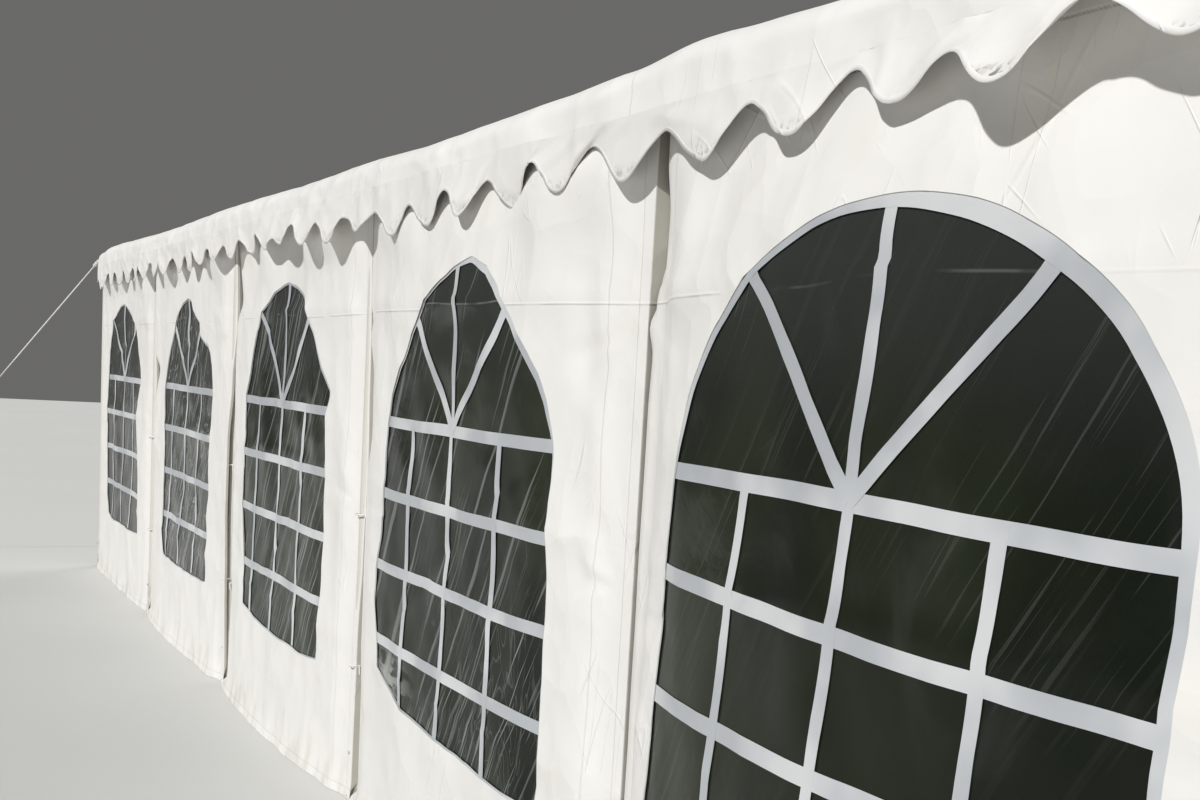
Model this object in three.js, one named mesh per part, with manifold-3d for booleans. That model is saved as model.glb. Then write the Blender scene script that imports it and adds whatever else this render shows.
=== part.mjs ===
// A 10 m by 5 m storage and party tent: white PVC sheeting on a frame of white steel tubes.
// Five bays of 2 m run down each long side, each closed by a hung panel with an arched window.
// Millimetres, +Z up, +X along the ridge, origin on the ground under the middle of the tent.
// The front is the long side at -Y. Lines and bays are numbered from the far end, at -X.

import * as THREE from "three";
import { mergeVertices } from "three/addons/utils/BufferGeometryUtils.js";
import Module from "manifold-3d";

const wasm = await Module();
wasm.setup();

// Frame
const BAY = 2000;
const BAYS = 5;
const WIDTH = 5000;
const EAVE_Z = 2120;
const RIDGE_RISE = 900;
const TUBE_R = 25;
const SLEEVE_R = 30;
const SLEEVE_REACH = 80;
const SOCKET_DEPTH = 130;
const END_POST_Y = 1000;
const TUBE_SIDES = 12;
const FIT = 0.3;

// Feet
const FOOT_PLATE = { x: 110, y: 100, z: 6 };
const FOOT_SLEEVE_R = 28;
const FOOT_SLEEVE_TOP = 240;
const PEG_HOLE_R = 7;
const PEG_HOLE_FROM_EDGE = 16;

// Sheeting
const SHEET = 3;
const FILM = 1;
const WALL_TOP = EAVE_Z + 5;
const EDGE_PAST_LEG = 30;
const EDGE_BEFORE_LEG = 8;
const WINDOW = { halfWidth: 660, sill: 410, spring: 1325, top: 1800 };
const FILM_LAP = 25;

// Roof cover and valance
const EAVE_LIP = 94;
const LIP_Z = 2040;
const COVER_PAST_END = 40;
const SLOPE_SAG = 22;
const SCALLOP = 305;
const STEPS_PER_SCALLOP = 6;
const VALANCE_MID_Z = 1945;
const SCALLOP_HALF_DEPTH = 42;
const RIPPLE = 20;
const END_RIPPLE = 20;

// Guy ropes
const ROPE_R = 5;
const ROPE_TOP_Z = 2085;
const STAKE_OUT = { x: 900, y: 1500 };
const STAKE_R = 8;
const STAKE_TOP = 130;
const ROPE_LOOP_Z = 70;

// Worked out from the above
const HALF_LENGTH = (BAYS * BAY) / 2;
const HALF_WIDTH = WIDTH / 2;
const RIDGE_Z = EAVE_Z + RIDGE_RISE;
const PITCH = Math.atan(RIDGE_RISE / HALF_WIDTH);
const SLOPE = Math.tan(PITCH);
const LINES = Array.from({ length: BAYS + 1 }, (_, i) => -HALF_LENGTH + i * BAY);
const WALL_FACE = SLEEVE_R + FIT;
const COVER_EDGE = HALF_WIDTH + EAVE_LIP + SHEET / 2;
const LEG_TOP = EAVE_Z - SLEEVE_R - 5 - FIT;
const endOf = (line) => (line === 0 ? -1 : line === LINES.length - 1 ? 1 : 0);

const paint = (color, roughness, metalness) =>
  new THREE.MeshStandardMaterial({ color, roughness, metalness });
const FINISH = {
  tube: () => paint(0xe6e6e1, 0.35, 0.1),
  fitting: () => paint(0xd9dad8, 0.4, 0.3),
  sheeting: () => paint(0xf1f0ec, 0.45, 0),
  film: () => Object.assign(paint(0x3a4138, 0.12, 0), { transparent: true, opacity: 0.6 }),
  rope: () => paint(0xe9e7df, 0.8, 0),
  stake: () => paint(0x8d9092, 0.45, 0.8),
};

// Solids

function toSolid(geometry) {
  const bare = geometry.clone();
  bare.deleteAttribute("normal");
  bare.deleteAttribute("uv");
  const merged = mergeVertices(bare, 1e-3);
  return new wasm.Manifold(
    new wasm.Mesh({
      numProp: 3,
      vertProperties: new Float32Array(merged.attributes.position.array),
      triVerts: new Uint32Array(merged.index.array),
    }),
  );
}

function toGeometry(solid) {
  const mesh = solid.getMesh();
  const geometry = new THREE.BufferGeometry();
  geometry.setAttribute("position", new THREE.BufferAttribute(new Float32Array(mesh.vertProperties), 3));
  geometry.setIndex(new THREE.BufferAttribute(new Uint32Array(mesh.triVerts), 1));
  geometry.computeVertexNormals();
  return geometry;
}

const join = (solids) => solids.reduce((whole, piece) => whole.add(piece));
const cutAll = (solid, tools) => tools.reduce((rest, tool) => rest.subtract(tool), solid);

// A round bar between two points.
function bar(from, to, radius, sides = TUBE_SIDES) {
  const a = new THREE.Vector3(...from);
  const b = new THREE.Vector3(...to);
  const along = b.clone().sub(a);
  const geometry = new THREE.CylinderGeometry(radius, radius, along.length(), sides);
  const up = new THREE.Vector3(0, 1, 0);
  const turn = new THREE.Quaternion().setFromUnitVectors(up, along.clone().normalize());
  geometry.applyQuaternion(turn);
  geometry.translate(...a.add(b).multiplyScalar(0.5).toArray());
  return toSolid(geometry);
}

function block(low, high) {
  const size = high.map((h, i) => h - low[i]);
  const geometry = new THREE.BoxGeometry(...size);
  geometry.translate(...low.map((l, i) => l + size[i] / 2));
  return toSolid(geometry);
}

// A thin closed sheet over a grid: place(i, j) gives the inner face's point and the outward direction.
function sheet(columns, rows, place, thickness = SHEET) {
  const positions = [];
  const outer = (i, j) => place(i, j).point.clone().addScaledVector(place(i, j).out, thickness);
  const inner = (i, j) => place(i, j).point;
  const quad = (a, b, c, d) => [a, b, c, a, c, d].forEach((p) => positions.push(p.x, p.y, p.z));
  for (let i = 0; i < columns; i++) {
    for (let j = 0; j < rows; j++) {
      quad(outer(i, j), outer(i + 1, j), outer(i + 1, j + 1), outer(i, j + 1));
      quad(inner(i, j), inner(i, j + 1), inner(i + 1, j + 1), inner(i + 1, j));
    }
    quad(inner(i, 0), inner(i + 1, 0), outer(i + 1, 0), outer(i, 0));
    quad(outer(i, rows), outer(i + 1, rows), inner(i + 1, rows), inner(i, rows));
  }
  for (let j = 0; j < rows; j++) {
    quad(outer(0, j), outer(0, j + 1), inner(0, j + 1), inner(0, j));
    quad(inner(columns, j), inner(columns, j + 1), outer(columns, j + 1), outer(columns, j));
  }
  const geometry = new THREE.BufferGeometry();
  geometry.setAttribute("position", new THREE.Float32BufferAttribute(positions, 3));
  return toSolid(geometry);
}

// A flat plate drawn in the plane of a wall, across and up, and stood up facing -Y at the given distance.
function wallPlate(shape, face, thickness) {
  const settings = { depth: thickness, bevelEnabled: false, curveSegments: 10 };
  const geometry = new THREE.ExtrudeGeometry(shape, settings);
  geometry.rotateX(Math.PI / 2);
  geometry.translate(0, -face, 0);
  return geometry;
}

// Frame pieces

// One leg on its foot: a steel plate with a short sleeve that the tube stands in. Its inner side is +Y. A
// corner leg's plate, at end -1 or 1, is set inwards so that it clears the end wall too.
function legSolid(top, end = 0) {
  const outer = -(FOOT_SLEEVE_R + 0.5);
  const middle = -end * (FOOT_PLATE.x / 2 + outer);
  const half = FOOT_PLATE.x / 2;
  const plate = block([middle - half, outer, 0], [middle + half, outer + FOOT_PLATE.y, FOOT_PLATE.z]);
  const holeY = outer + FOOT_PLATE.y - PEG_HOLE_FROM_EDGE;
  const holes = [-1, 1].map((side) => {
    const x = middle + side * (half - PEG_HOLE_FROM_EDGE);
    return bar([x, holeY, -1], [x, holeY, FOOT_PLATE.z + 1], PEG_HOLE_R, 8);
  });
  const tube = bar([0, 0, FOOT_PLATE.z - 2], [0, 0, top], TUBE_R);
  const sleeve = bar([0, 0, FOOT_PLATE.z - 2], [0, 0, FOOT_SLEEVE_TOP], FOOT_SLEEVE_R);
  return cutAll(join([plate, tube, sleeve]), holes);
}

// A pair of rafters with their ridge and eave fittings, in its own plane at x = 0. The fittings are sleeves
// round the ridge and eave tubes, with a socket for each leg. An end pair stops short at the wall, on the
// side given by end (-1 or 1), and has sockets for the end tube.
function rafterPair(end = 0) {
  const low = end === -1 ? -(SLEEVE_R - FIT) : -SLEEVE_REACH;
  const high = end === 1 ? SLEEVE_R - FIT : SLEEVE_REACH;
  const past = 2 * SLEEVE_REACH;
  const pieces = [bar([low, 0, RIDGE_Z], [high, 0, RIDGE_Z], SLEEVE_R)];
  const bores = [bar([-past, 0, RIDGE_Z], [past, 0, RIDGE_Z], TUBE_R + FIT)];
  for (const side of [-1, 1]) {
    const y = side * HALF_WIDTH;
    const along = (t) => [0, y - side * t * Math.cos(PITCH), EAVE_Z + t * Math.sin(PITCH)];
    const whole = HALF_WIDTH / Math.cos(PITCH);
    pieces.push(bar(along(0), along(whole), TUBE_R));
    pieces.push(bar(along(0), along(SOCKET_DEPTH), SLEEVE_R));
    pieces.push(bar(along(whole - SOCKET_DEPTH), along(whole), SLEEVE_R));
    pieces.push(bar([low, y, EAVE_Z], [high, y, EAVE_Z], SLEEVE_R));
    pieces.push(bar([0, y, EAVE_Z - SOCKET_DEPTH], [0, y, EAVE_Z], SLEEVE_R));
    bores.push(bar([-past, y, EAVE_Z], [past, y, EAVE_Z], TUBE_R + FIT));
    bores.push(bar([0, y, 0], [0, y, EAVE_Z - SLEEVE_R - 5], TUBE_R + FIT));
    if (end) {
      pieces.push(bar([0, y, EAVE_Z], [0, y - side * SOCKET_DEPTH, EAVE_Z], SLEEVE_R));
      bores.push(bar([0, y - side * (SLEEVE_R + 5), EAVE_Z], [0, 0, EAVE_Z], TUBE_R + FIT));
    }
  }
  return cutAll(join(pieces), bores);
}

// The tube across an end at eave height, with a tee on it for each of the two posts beside the door.
function endTube() {
  const half = HALF_WIDTH - SLEEVE_R - 5 - FIT;
  const pieces = [bar([0, -half, EAVE_Z], [0, half, EAVE_Z], TUBE_R)];
  const bores = [];
  for (const side of [-1, 1]) {
    const y = side * END_POST_Y;
    pieces.push(bar([0, y - SLEEVE_REACH, EAVE_Z], [0, y + SLEEVE_REACH, EAVE_Z], SLEEVE_R));
    pieces.push(bar([0, y, EAVE_Z - SOCKET_DEPTH], [0, y, EAVE_Z], SLEEVE_R));
    bores.push(bar([0, y, 0], [0, y, EAVE_Z - SLEEVE_R - 5], TUBE_R + FIT));
  }
  return cutAll(join(pieces), bores);
}

// Sheeting

// Outline of a window: straight jambs up to the spring line, then half an ellipse.
function windowOutline(path, grow = 0) {
  const half = WINDOW.halfWidth + grow;
  const rise = WINDOW.top - WINDOW.spring + grow;
  path.moveTo(-half, WINDOW.sill - grow);
  path.lineTo(half, WINDOW.sill - grow);
  path.lineTo(half, WINDOW.spring);
  path.absellipse(0, WINDOW.spring, half, rise, 0, Math.PI, false, 0);
  path.lineTo(-half, WINDOW.sill - grow);
  return path;
}

function rectangle(left, right, bottom, top) {
  const shape = new THREE.Shape();
  shape.moveTo(left, bottom);
  shape.lineTo(right, bottom);
  shape.lineTo(right, top);
  shape.lineTo(left, top);
  shape.closePath();
  return shape;
}

// A 2 m side panel with its window cut through it. Its middle is the middle of its bay.
function sidePanel() {
  const shape = rectangle(-BAY / 2 + EDGE_PAST_LEG, BAY / 2 - EDGE_BEFORE_LEG, 0, WALL_TOP);
  shape.holes.push(windowOutline(new THREE.Path()));
  return wallPlate(shape, HALF_WIDTH + WALL_FACE, SHEET);
}

// One run of clear film closes the five windows of a side from behind.
function windowFilm() {
  const half = HALF_LENGTH - BAY / 2 + WINDOW.halfWidth + FILM_LAP;
  const shape = rectangle(-half, half, WINDOW.sill - FILM_LAP, WINDOW.top + FILM_LAP);
  return wallPlate(shape, HALF_WIDTH + TUBE_R + FIT, FILM);
}

// Section of the roof cover from the front lip over the ridge to the back lip, as points across (y) and up
// (z) on its inner face, each with its outward direction.
function coverSection() {
  const lift = (SLEEVE_R + FIT) / Math.cos(PITCH);
  const onSlope = (y) => RIDGE_Z + lift - y * SLOPE;
  const lip = HALF_WIDTH + EAVE_LIP;
  const half = [
    { y: lip, z: LIP_Z, turn: 0 },
    { y: lip, z: onSlope(lip) - 26, turn: 0.15 },
    { y: lip - 8, z: onSlope(lip) - 7, turn: 0.55 },
    { y: lip - 34, z: onSlope(lip - 34) - 2, turn: 1.05 },
  ];
  const slopeSteps = 4;
  for (let k = 0; k < slopeSteps; k++) {
    const y = (HALF_WIDTH * (slopeSteps - k)) / slopeSteps;
    half.push({ y, z: onSlope(y), turn: Math.PI / 2 - PITCH, across: k / slopeSteps });
  }
  const side = (s, p) => ({ ...p, y: s * p.y, out: [s * Math.cos(p.turn), Math.sin(p.turn)] });
  const ridge = { y: 0, z: RIDGE_Z + lift, out: [0, 1], across: 1 };
  return [...half.map((p) => side(-1, p)), ridge, ...half.map((p) => side(1, p)).reverse()];
}

// The roof cover: one sheet over both slopes that rolls over the eaves and sags a little between rafters.
function roofCover() {
  const section = coverSection();
  const stepsPerBay = 4;
  const xs = [-HALF_LENGTH - COVER_PAST_END];
  for (let k = 0; k <= BAYS * stepsPerBay; k++) xs.push(-HALF_LENGTH + (k * BAY) / stepsPerBay);
  xs.push(HALF_LENGTH + COVER_PAST_END);
  return sheet(xs.length - 1, section.length - 1, (i, j) => {
    const { y, z, out, across = 0 } = section[j];
    const x = xs[i];
    const inBay = Math.abs(x) > HALF_LENGTH ? 0 : Math.sin((Math.PI * (x + HALF_LENGTH)) / BAY) ** 2;
    const sag = SLOPE_SAG * inBay * Math.sin(Math.PI * across);
    return { point: new THREE.Vector3(x, y, z - sag), out: new THREE.Vector3(0, ...out) };
  });
}

// A scalloped band that ripples like a hem: run is its length, ripple half its swing at the bottom edge.
function valanceBand(run, ripple, top) {
  const scallops = Math.round(run / SCALLOP);
  const columns = scallops * STEPS_PER_SCALLOP;
  return sheet(columns, 1, (i, j) => {
    const across = -run / 2 + (run * i) / columns;
    const wave = Math.cos((2 * Math.PI * scallops * i) / columns);
    const z = j === 1 ? top : VALANCE_MID_Z + SCALLOP_HALF_DEPTH * wave;
    const out = j === 1 ? 0 : ripple * (1 + wave);
    return { point: new THREE.Vector3(across, -out, z), out: new THREE.Vector3(0, -1, 0) };
  });
}

function sideValance() {
  const run = 2 * (HALF_LENGTH + COVER_PAST_END);
  return valanceBand(run, RIPPLE, LIP_Z - FIT).translate([0, -(HALF_WIDTH + EAVE_LIP), 0]);
}

// The triangle that closes an end above the eaves, with the scalloped valance sewn to it. Faces -Y here.
function gable() {
  const face = HALF_LENGTH + WALL_FACE + SHEET + FIT;
  const inset = 1;
  const shape = new THREE.Shape();
  const section = coverSection().map(({ y, z, out }) => [y - inset * out[0], z - inset * out[1]]);
  shape.moveTo(...section[0]);
  section.slice(1).forEach((p) => shape.lineTo(...p));
  shape.closePath();
  const plate = toSolid(wallPlate(shape, face, SHEET));
  const band = valanceBand(2 * (HALF_WIDTH + EAVE_LIP - 2 * inset), END_RIPPLE, LIP_Z + 10);
  return plate.add(band.translate([0, -face - SHEET / 4, 0]));
}

// A plain end panel between two posts, facing -Y here.
function endPanel(left, right) {
  return wallPlate(rectangle(left, right, 0, WALL_TOP), HALF_LENGTH + WALL_FACE, SHEET);
}

// Guy ropes

// A ground stake at a corner, as much of it as stands above the ground.
function stakeSolid() {
  const shank = bar([0, 0, 0], [0, 0, STAKE_TOP], STAKE_R, 8);
  const head = bar([0, 0, STAKE_TOP - 12], [0, 0, STAKE_TOP], 2 * STAKE_R, 8);
  return join([shank, head]);
}

// The rope of the front near corner, from the lip of the cover to a loop round its stake.
function guyRope() {
  const knotR = 2.4 * ROPE_R;
  const start = new THREE.Vector3(HALF_LENGTH + COVER_PAST_END + FIT + knotR, -COVER_EDGE, ROPE_TOP_Z);
  const stake = [HALF_LENGTH + STAKE_OUT.x, -(HALF_WIDTH + STAKE_OUT.y), ROPE_LOOP_Z];
  const loopR = 2 * STAKE_R;
  const at = (z) => [stake[0], stake[1], z];
  const loop = bar(at(ROPE_LOOP_Z - ROPE_R), at(ROPE_LOOP_Z + ROPE_R), loopR, 8);
  const knot = new THREE.SphereGeometry(knotR, 8, 6);
  knot.translate(...start.toArray());
  const back = new THREE.Vector3(start.x - stake[0], start.y - stake[1], 0).normalize();
  const foot = new THREE.Vector3(...stake).addScaledVector(back, 1.5 * STAKE_R);
  const line = bar(start.toArray(), foot.toArray(), ROPE_R, 8);
  const shank = bar(at(0), at(STAKE_TOP), STAKE_R + FIT, 8);
  return cutAll(join([toSolid(knot), line, loop]), [shank]);
}

// Assembly

const tent = new THREE.Group();

function add(parent, name, shape, finish) {
  const geometry = shape.isBufferGeometry ? shape : toGeometry(shape);
  const mesh = new THREE.Mesh(geometry, finish());
  mesh.name = name;
  parent.add(mesh);
  return mesh;
}

// Each long side is one group, and the back is the front turned half round.
for (const side of ["front", "back"]) {
  const group = new THREE.Group();
  if (side === "back") group.rotation.z = Math.PI;
  tent.add(group);
  const number = (i, count) => (side === "front" ? i + 1 : count - i);

  const tubeHalf = HALF_LENGTH + SLEEVE_R - FIT;
  const eaveTube = bar([-tubeHalf, -HALF_WIDTH, EAVE_Z], [tubeHalf, -HALF_WIDTH, EAVE_Z], TUBE_R);
  add(group, `${side}_eave_tube`, eaveTube, FINISH.tube);
  LINES.forEach((x, i) => {
    const name = `${side}_leg_${number(i, LINES.length)}`;
    const leg = add(group, name, legSolid(LEG_TOP, endOf(i)), FINISH.tube);
    leg.position.set(x, -HALF_WIDTH, 0);
  });
  for (let i = 0; i < BAYS; i++) {
    const panel = add(group, `${side}_wall_${number(i, BAYS)}`, sidePanel(), FINISH.sheeting);
    panel.position.x = LINES[i] + BAY / 2;
  }
  add(group, `${side}_window_film`, windowFilm(), FINISH.film);
  add(group, `${side}_valance`, sideValance(), FINISH.sheeting);
}

const ridgeHalf = HALF_LENGTH + SLEEVE_R - FIT;
add(tent, "ridge_tube", bar([-ridgeHalf, 0, RIDGE_Z], [ridgeHalf, 0, RIDGE_Z], TUBE_R), FINISH.tube);
LINES.forEach((x, i) => {
  add(tent, `rafter_pair_${i + 1}`, rafterPair(endOf(i)), FINISH.fitting).position.x = x;
});
add(tent, "roof_cover", roofCover(), FINISH.sheeting);

// Each end is drawn facing -Y and turned to face along X.
for (const end of ["far", "near"]) {
  const group = new THREE.Group();
  group.rotation.z = end === "near" ? Math.PI / 2 : -Math.PI / 2;
  tent.add(group);
  const [left, right] = end === "near" ? ["front", "back"] : ["back", "front"];
  const across = add(tent, `${end}_end_tube`, endTube(), FINISH.tube);
  across.position.x = end === "near" ? HALF_LENGTH : -HALF_LENGTH;
  for (const [side, x] of [[left, -END_POST_Y], [right, END_POST_Y]]) {
    const post = add(group, `${end}_door_post_${side}`, legSolid(LEG_TOP), FINISH.tube);
    post.position.set(x, -HALF_LENGTH, 0);
  }
  const inner = END_POST_Y - EDGE_BEFORE_LEG;
  const outer = HALF_WIDTH - EDGE_BEFORE_LEG;
  add(group, `${end}_gable`, gable(), FINISH.sheeting);
  add(group, `${end}_wall_${left}`, endPanel(-outer, -END_POST_Y - EDGE_BEFORE_LEG), FINISH.sheeting);
  add(group, `${end}_door`, endPanel(-inner, inner), FINISH.sheeting);
  add(group, `${end}_wall_${right}`, endPanel(END_POST_Y + EDGE_BEFORE_LEG, outer), FINISH.sheeting);
}

// The four guy ropes are one shape, mirrored to each corner.
for (const [end, sx] of [["far", -1], ["near", 1]]) {
  for (const [side, sy] of [["front", 1], ["back", -1]]) {
    const rope = add(tent, `guy_rope_${side}_${end}`, guyRope(), FINISH.rope);
    rope.scale.set(sx, sy, 1);
    const stake = add(tent, `stake_${side}_${end}`, stakeSolid(), FINISH.stake);
    stake.position.set(sx * (HALF_LENGTH + STAKE_OUT.x), -sy * (HALF_WIDTH + STAKE_OUT.y), 0);
  }
}

export default tent;
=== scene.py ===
# A long white storage tent: PVC sheeting on a frame of white steel tubes.
import math

import bpy
from mathutils import Matrix, Vector, noise


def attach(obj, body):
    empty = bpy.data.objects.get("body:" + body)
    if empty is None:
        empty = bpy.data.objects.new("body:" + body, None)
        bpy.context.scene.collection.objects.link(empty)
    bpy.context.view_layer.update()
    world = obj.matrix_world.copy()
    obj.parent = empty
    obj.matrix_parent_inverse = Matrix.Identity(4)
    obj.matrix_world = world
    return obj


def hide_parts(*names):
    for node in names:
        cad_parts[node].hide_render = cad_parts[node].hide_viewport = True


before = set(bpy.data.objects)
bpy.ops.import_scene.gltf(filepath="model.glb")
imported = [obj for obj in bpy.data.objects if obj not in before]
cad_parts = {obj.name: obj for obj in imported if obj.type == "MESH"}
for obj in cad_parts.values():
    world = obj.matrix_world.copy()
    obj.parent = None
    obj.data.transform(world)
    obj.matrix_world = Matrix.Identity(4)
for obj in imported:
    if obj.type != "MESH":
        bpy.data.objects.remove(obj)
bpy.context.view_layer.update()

# ---------------------------------------------------------------- The view
# The camera stands beside the near end, close to the long side, and looks down it towards the far end. The
# picture is the upper part of a taller one that was taken with the camera tipped down, hence the shift.

LENS_MM, SENSOR_MM, LENS_SHIFT = 45.85, 36, 0.1376
EYE = Vector((5.978, -4.075, 1.482))
YAW, PITCH, ROLL = math.radians(63.64), math.radians(-6.91), math.radians(3.325)

ahead = Vector((-math.sin(YAW) * math.cos(PITCH), math.cos(YAW) * math.cos(PITCH), math.sin(PITCH)))
level = Vector((math.cos(YAW), math.sin(YAW), 0))
upright = level.cross(ahead)
across = math.cos(ROLL) * level + math.sin(ROLL) * upright
upward = -math.sin(ROLL) * level + math.cos(ROLL) * upright
lens = bpy.data.cameras.new("view")
lens.lens = LENS_MM
lens.sensor_width = SENSOR_MM
lens.shift_y = LENS_SHIFT
camera = bpy.data.objects.new("view", lens)
camera.matrix_world = Matrix((across, upward, -ahead)).transposed().to_4x4()
camera.matrix_world.translation = EYE
bpy.context.scene.collection.objects.link(camera)
bpy.context.scene.camera = camera

# ---------------------------------------------------------------- Roof cover
# One sheet of PVC-coated cloth, welded from 2 m widths, goes over both slopes and rolls over the eaves.
# It is drawn tight over the rafters and sags a little between them, and it keeps the creases of its pack.

BAY, HALF_LENGTH, COVER_END = 2.0, 5.0, 5.04
RIDGE_TOP, SLOPE = 3.0552, 0.36
LIP_OUT, LIP_Z, ROLL_R = 2.5972, 2.04, 0.058
CLOTH = 0.0015


class Wire:
    """A socket that can be added to, scaled and compared, so that shader sums read as sums."""

    def __init__(self, finish, socket):
        self.finish = finish
        self.socket = socket

    def math(self, operation, *others):
        return self.finish.node("ShaderNodeMath", {"operation": operation}, dict(enumerate((self, *others))))

    def __add__(self, other):
        return self.math("ADD", other)

    def __sub__(self, other):
        return self.math("SUBTRACT", other)

    def __mul__(self, other):
        return self.math("MULTIPLY", other)

    def __rsub__(self, other):
        return self * -1.0 + other

    def __neg__(self):
        return self * -1.0

    def __abs__(self):
        return self.math("ABSOLUTE")

    __radd__ = __add__
    __rmul__ = __mul__

    def larger(self, other):
        return self.math("MAXIMUM", other)

    def ramp(self, low, high):
        """0 below low and 1 above high, with a smooth rise between them."""
        limits = {"Value": self, "From Min": low, "From Max": high}
        return self.finish.node("ShaderNodeMapRange", {"interpolation_type": "SMOOTHSTEP"}, limits)

    def near(self, place, width):
        """1 at place, falling to 0 at width from it."""
        return 1 - abs(self - place).ramp(0.0, width)


class Finish:
    """A material with one Principled surface, and the nodes that vary it."""

    def __init__(self, name, **constants):
        self.material = bpy.data.materials.new(name)
        self.material.use_nodes = True
        self.tree = self.material.node_tree
        self.surface = self.tree.nodes["Principled BSDF"]
        for socket, value in constants.items():
            self.surface.inputs[socket.replace("_", " ")].default_value = value

    def node(self, kind, settings=None, sockets=None, output=0):
        made = self.tree.nodes.new(kind)
        for key, value in (settings or {}).items():
            setattr(made, key, value)
        for key, value in (sockets or {}).items():
            if isinstance(value, Wire):
                self.tree.links.new(value.socket, made.inputs[key])
            else:
                made.inputs[key].default_value = value
        return Wire(self, made.outputs[output])

    def place(self, output="Object"):
        return self.node("ShaderNodeTexCoord", output=output)

    def along(self, vector, axis):
        return self.node("ShaderNodeSeparateXYZ", {}, {0: vector}, output=axis)

    def turned(self, vector, stretch, turn=(0.0, 0.0, 0.0)):
        return self.node("ShaderNodeMapping", {}, {"Vector": vector, "Rotation": turn, "Scale": stretch})

    def noise(self, vector, scale, detail=3.0, kind="FBM", warp=0.0):
        sockets = {"Vector": vector, "Scale": scale, "Detail": detail, "Distortion": warp}
        return self.node("ShaderNodeTexNoise", {"noise_type": kind}, sockets)

    def blend(self, mask, first, second):
        return self.node("ShaderNodeMix", {"data_type": "RGBA"}, {0: mask, 6: first, 7: second}, output=2)

    def facets(self, vector, scale, warp):
        """The height of crumpled cloth: shallow hollows that meet at sharp folds."""
        drift = self.node("ShaderNodeTexNoise", {}, {"Vector": vector, "Scale": 2.5}, output=1)
        bent = self.node("ShaderNodeMix", {"data_type": "VECTOR"}, {0: warp, 4: vector, 5: drift}, output=1)
        cell = self.node("ShaderNodeTexVoronoi", {}, {"Vector": bent, "Scale": scale})
        return cell * cell

    def bump(self, height, distance, strength=1.0, under=None):
        sockets = {"Height": height, "Distance": distance, "Strength": strength}
        if under:
            sockets["Normal"] = under
        return self.node("ShaderNodeBump", {}, sockets)

    def feed(self, **wires):
        for socket, wire in wires.items():
            self.tree.links.new(wire.socket, self.surface.inputs[socket.replace("_", " ")])
        return self.material


SEAM_HALF, STITCH = 0.005, 0.008
# The dark grey-beige of the turned hems beside the legs: painted shade.
TURNED_HEM_SHADE = (0.43, 0.415, 0.365, 1)


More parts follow.
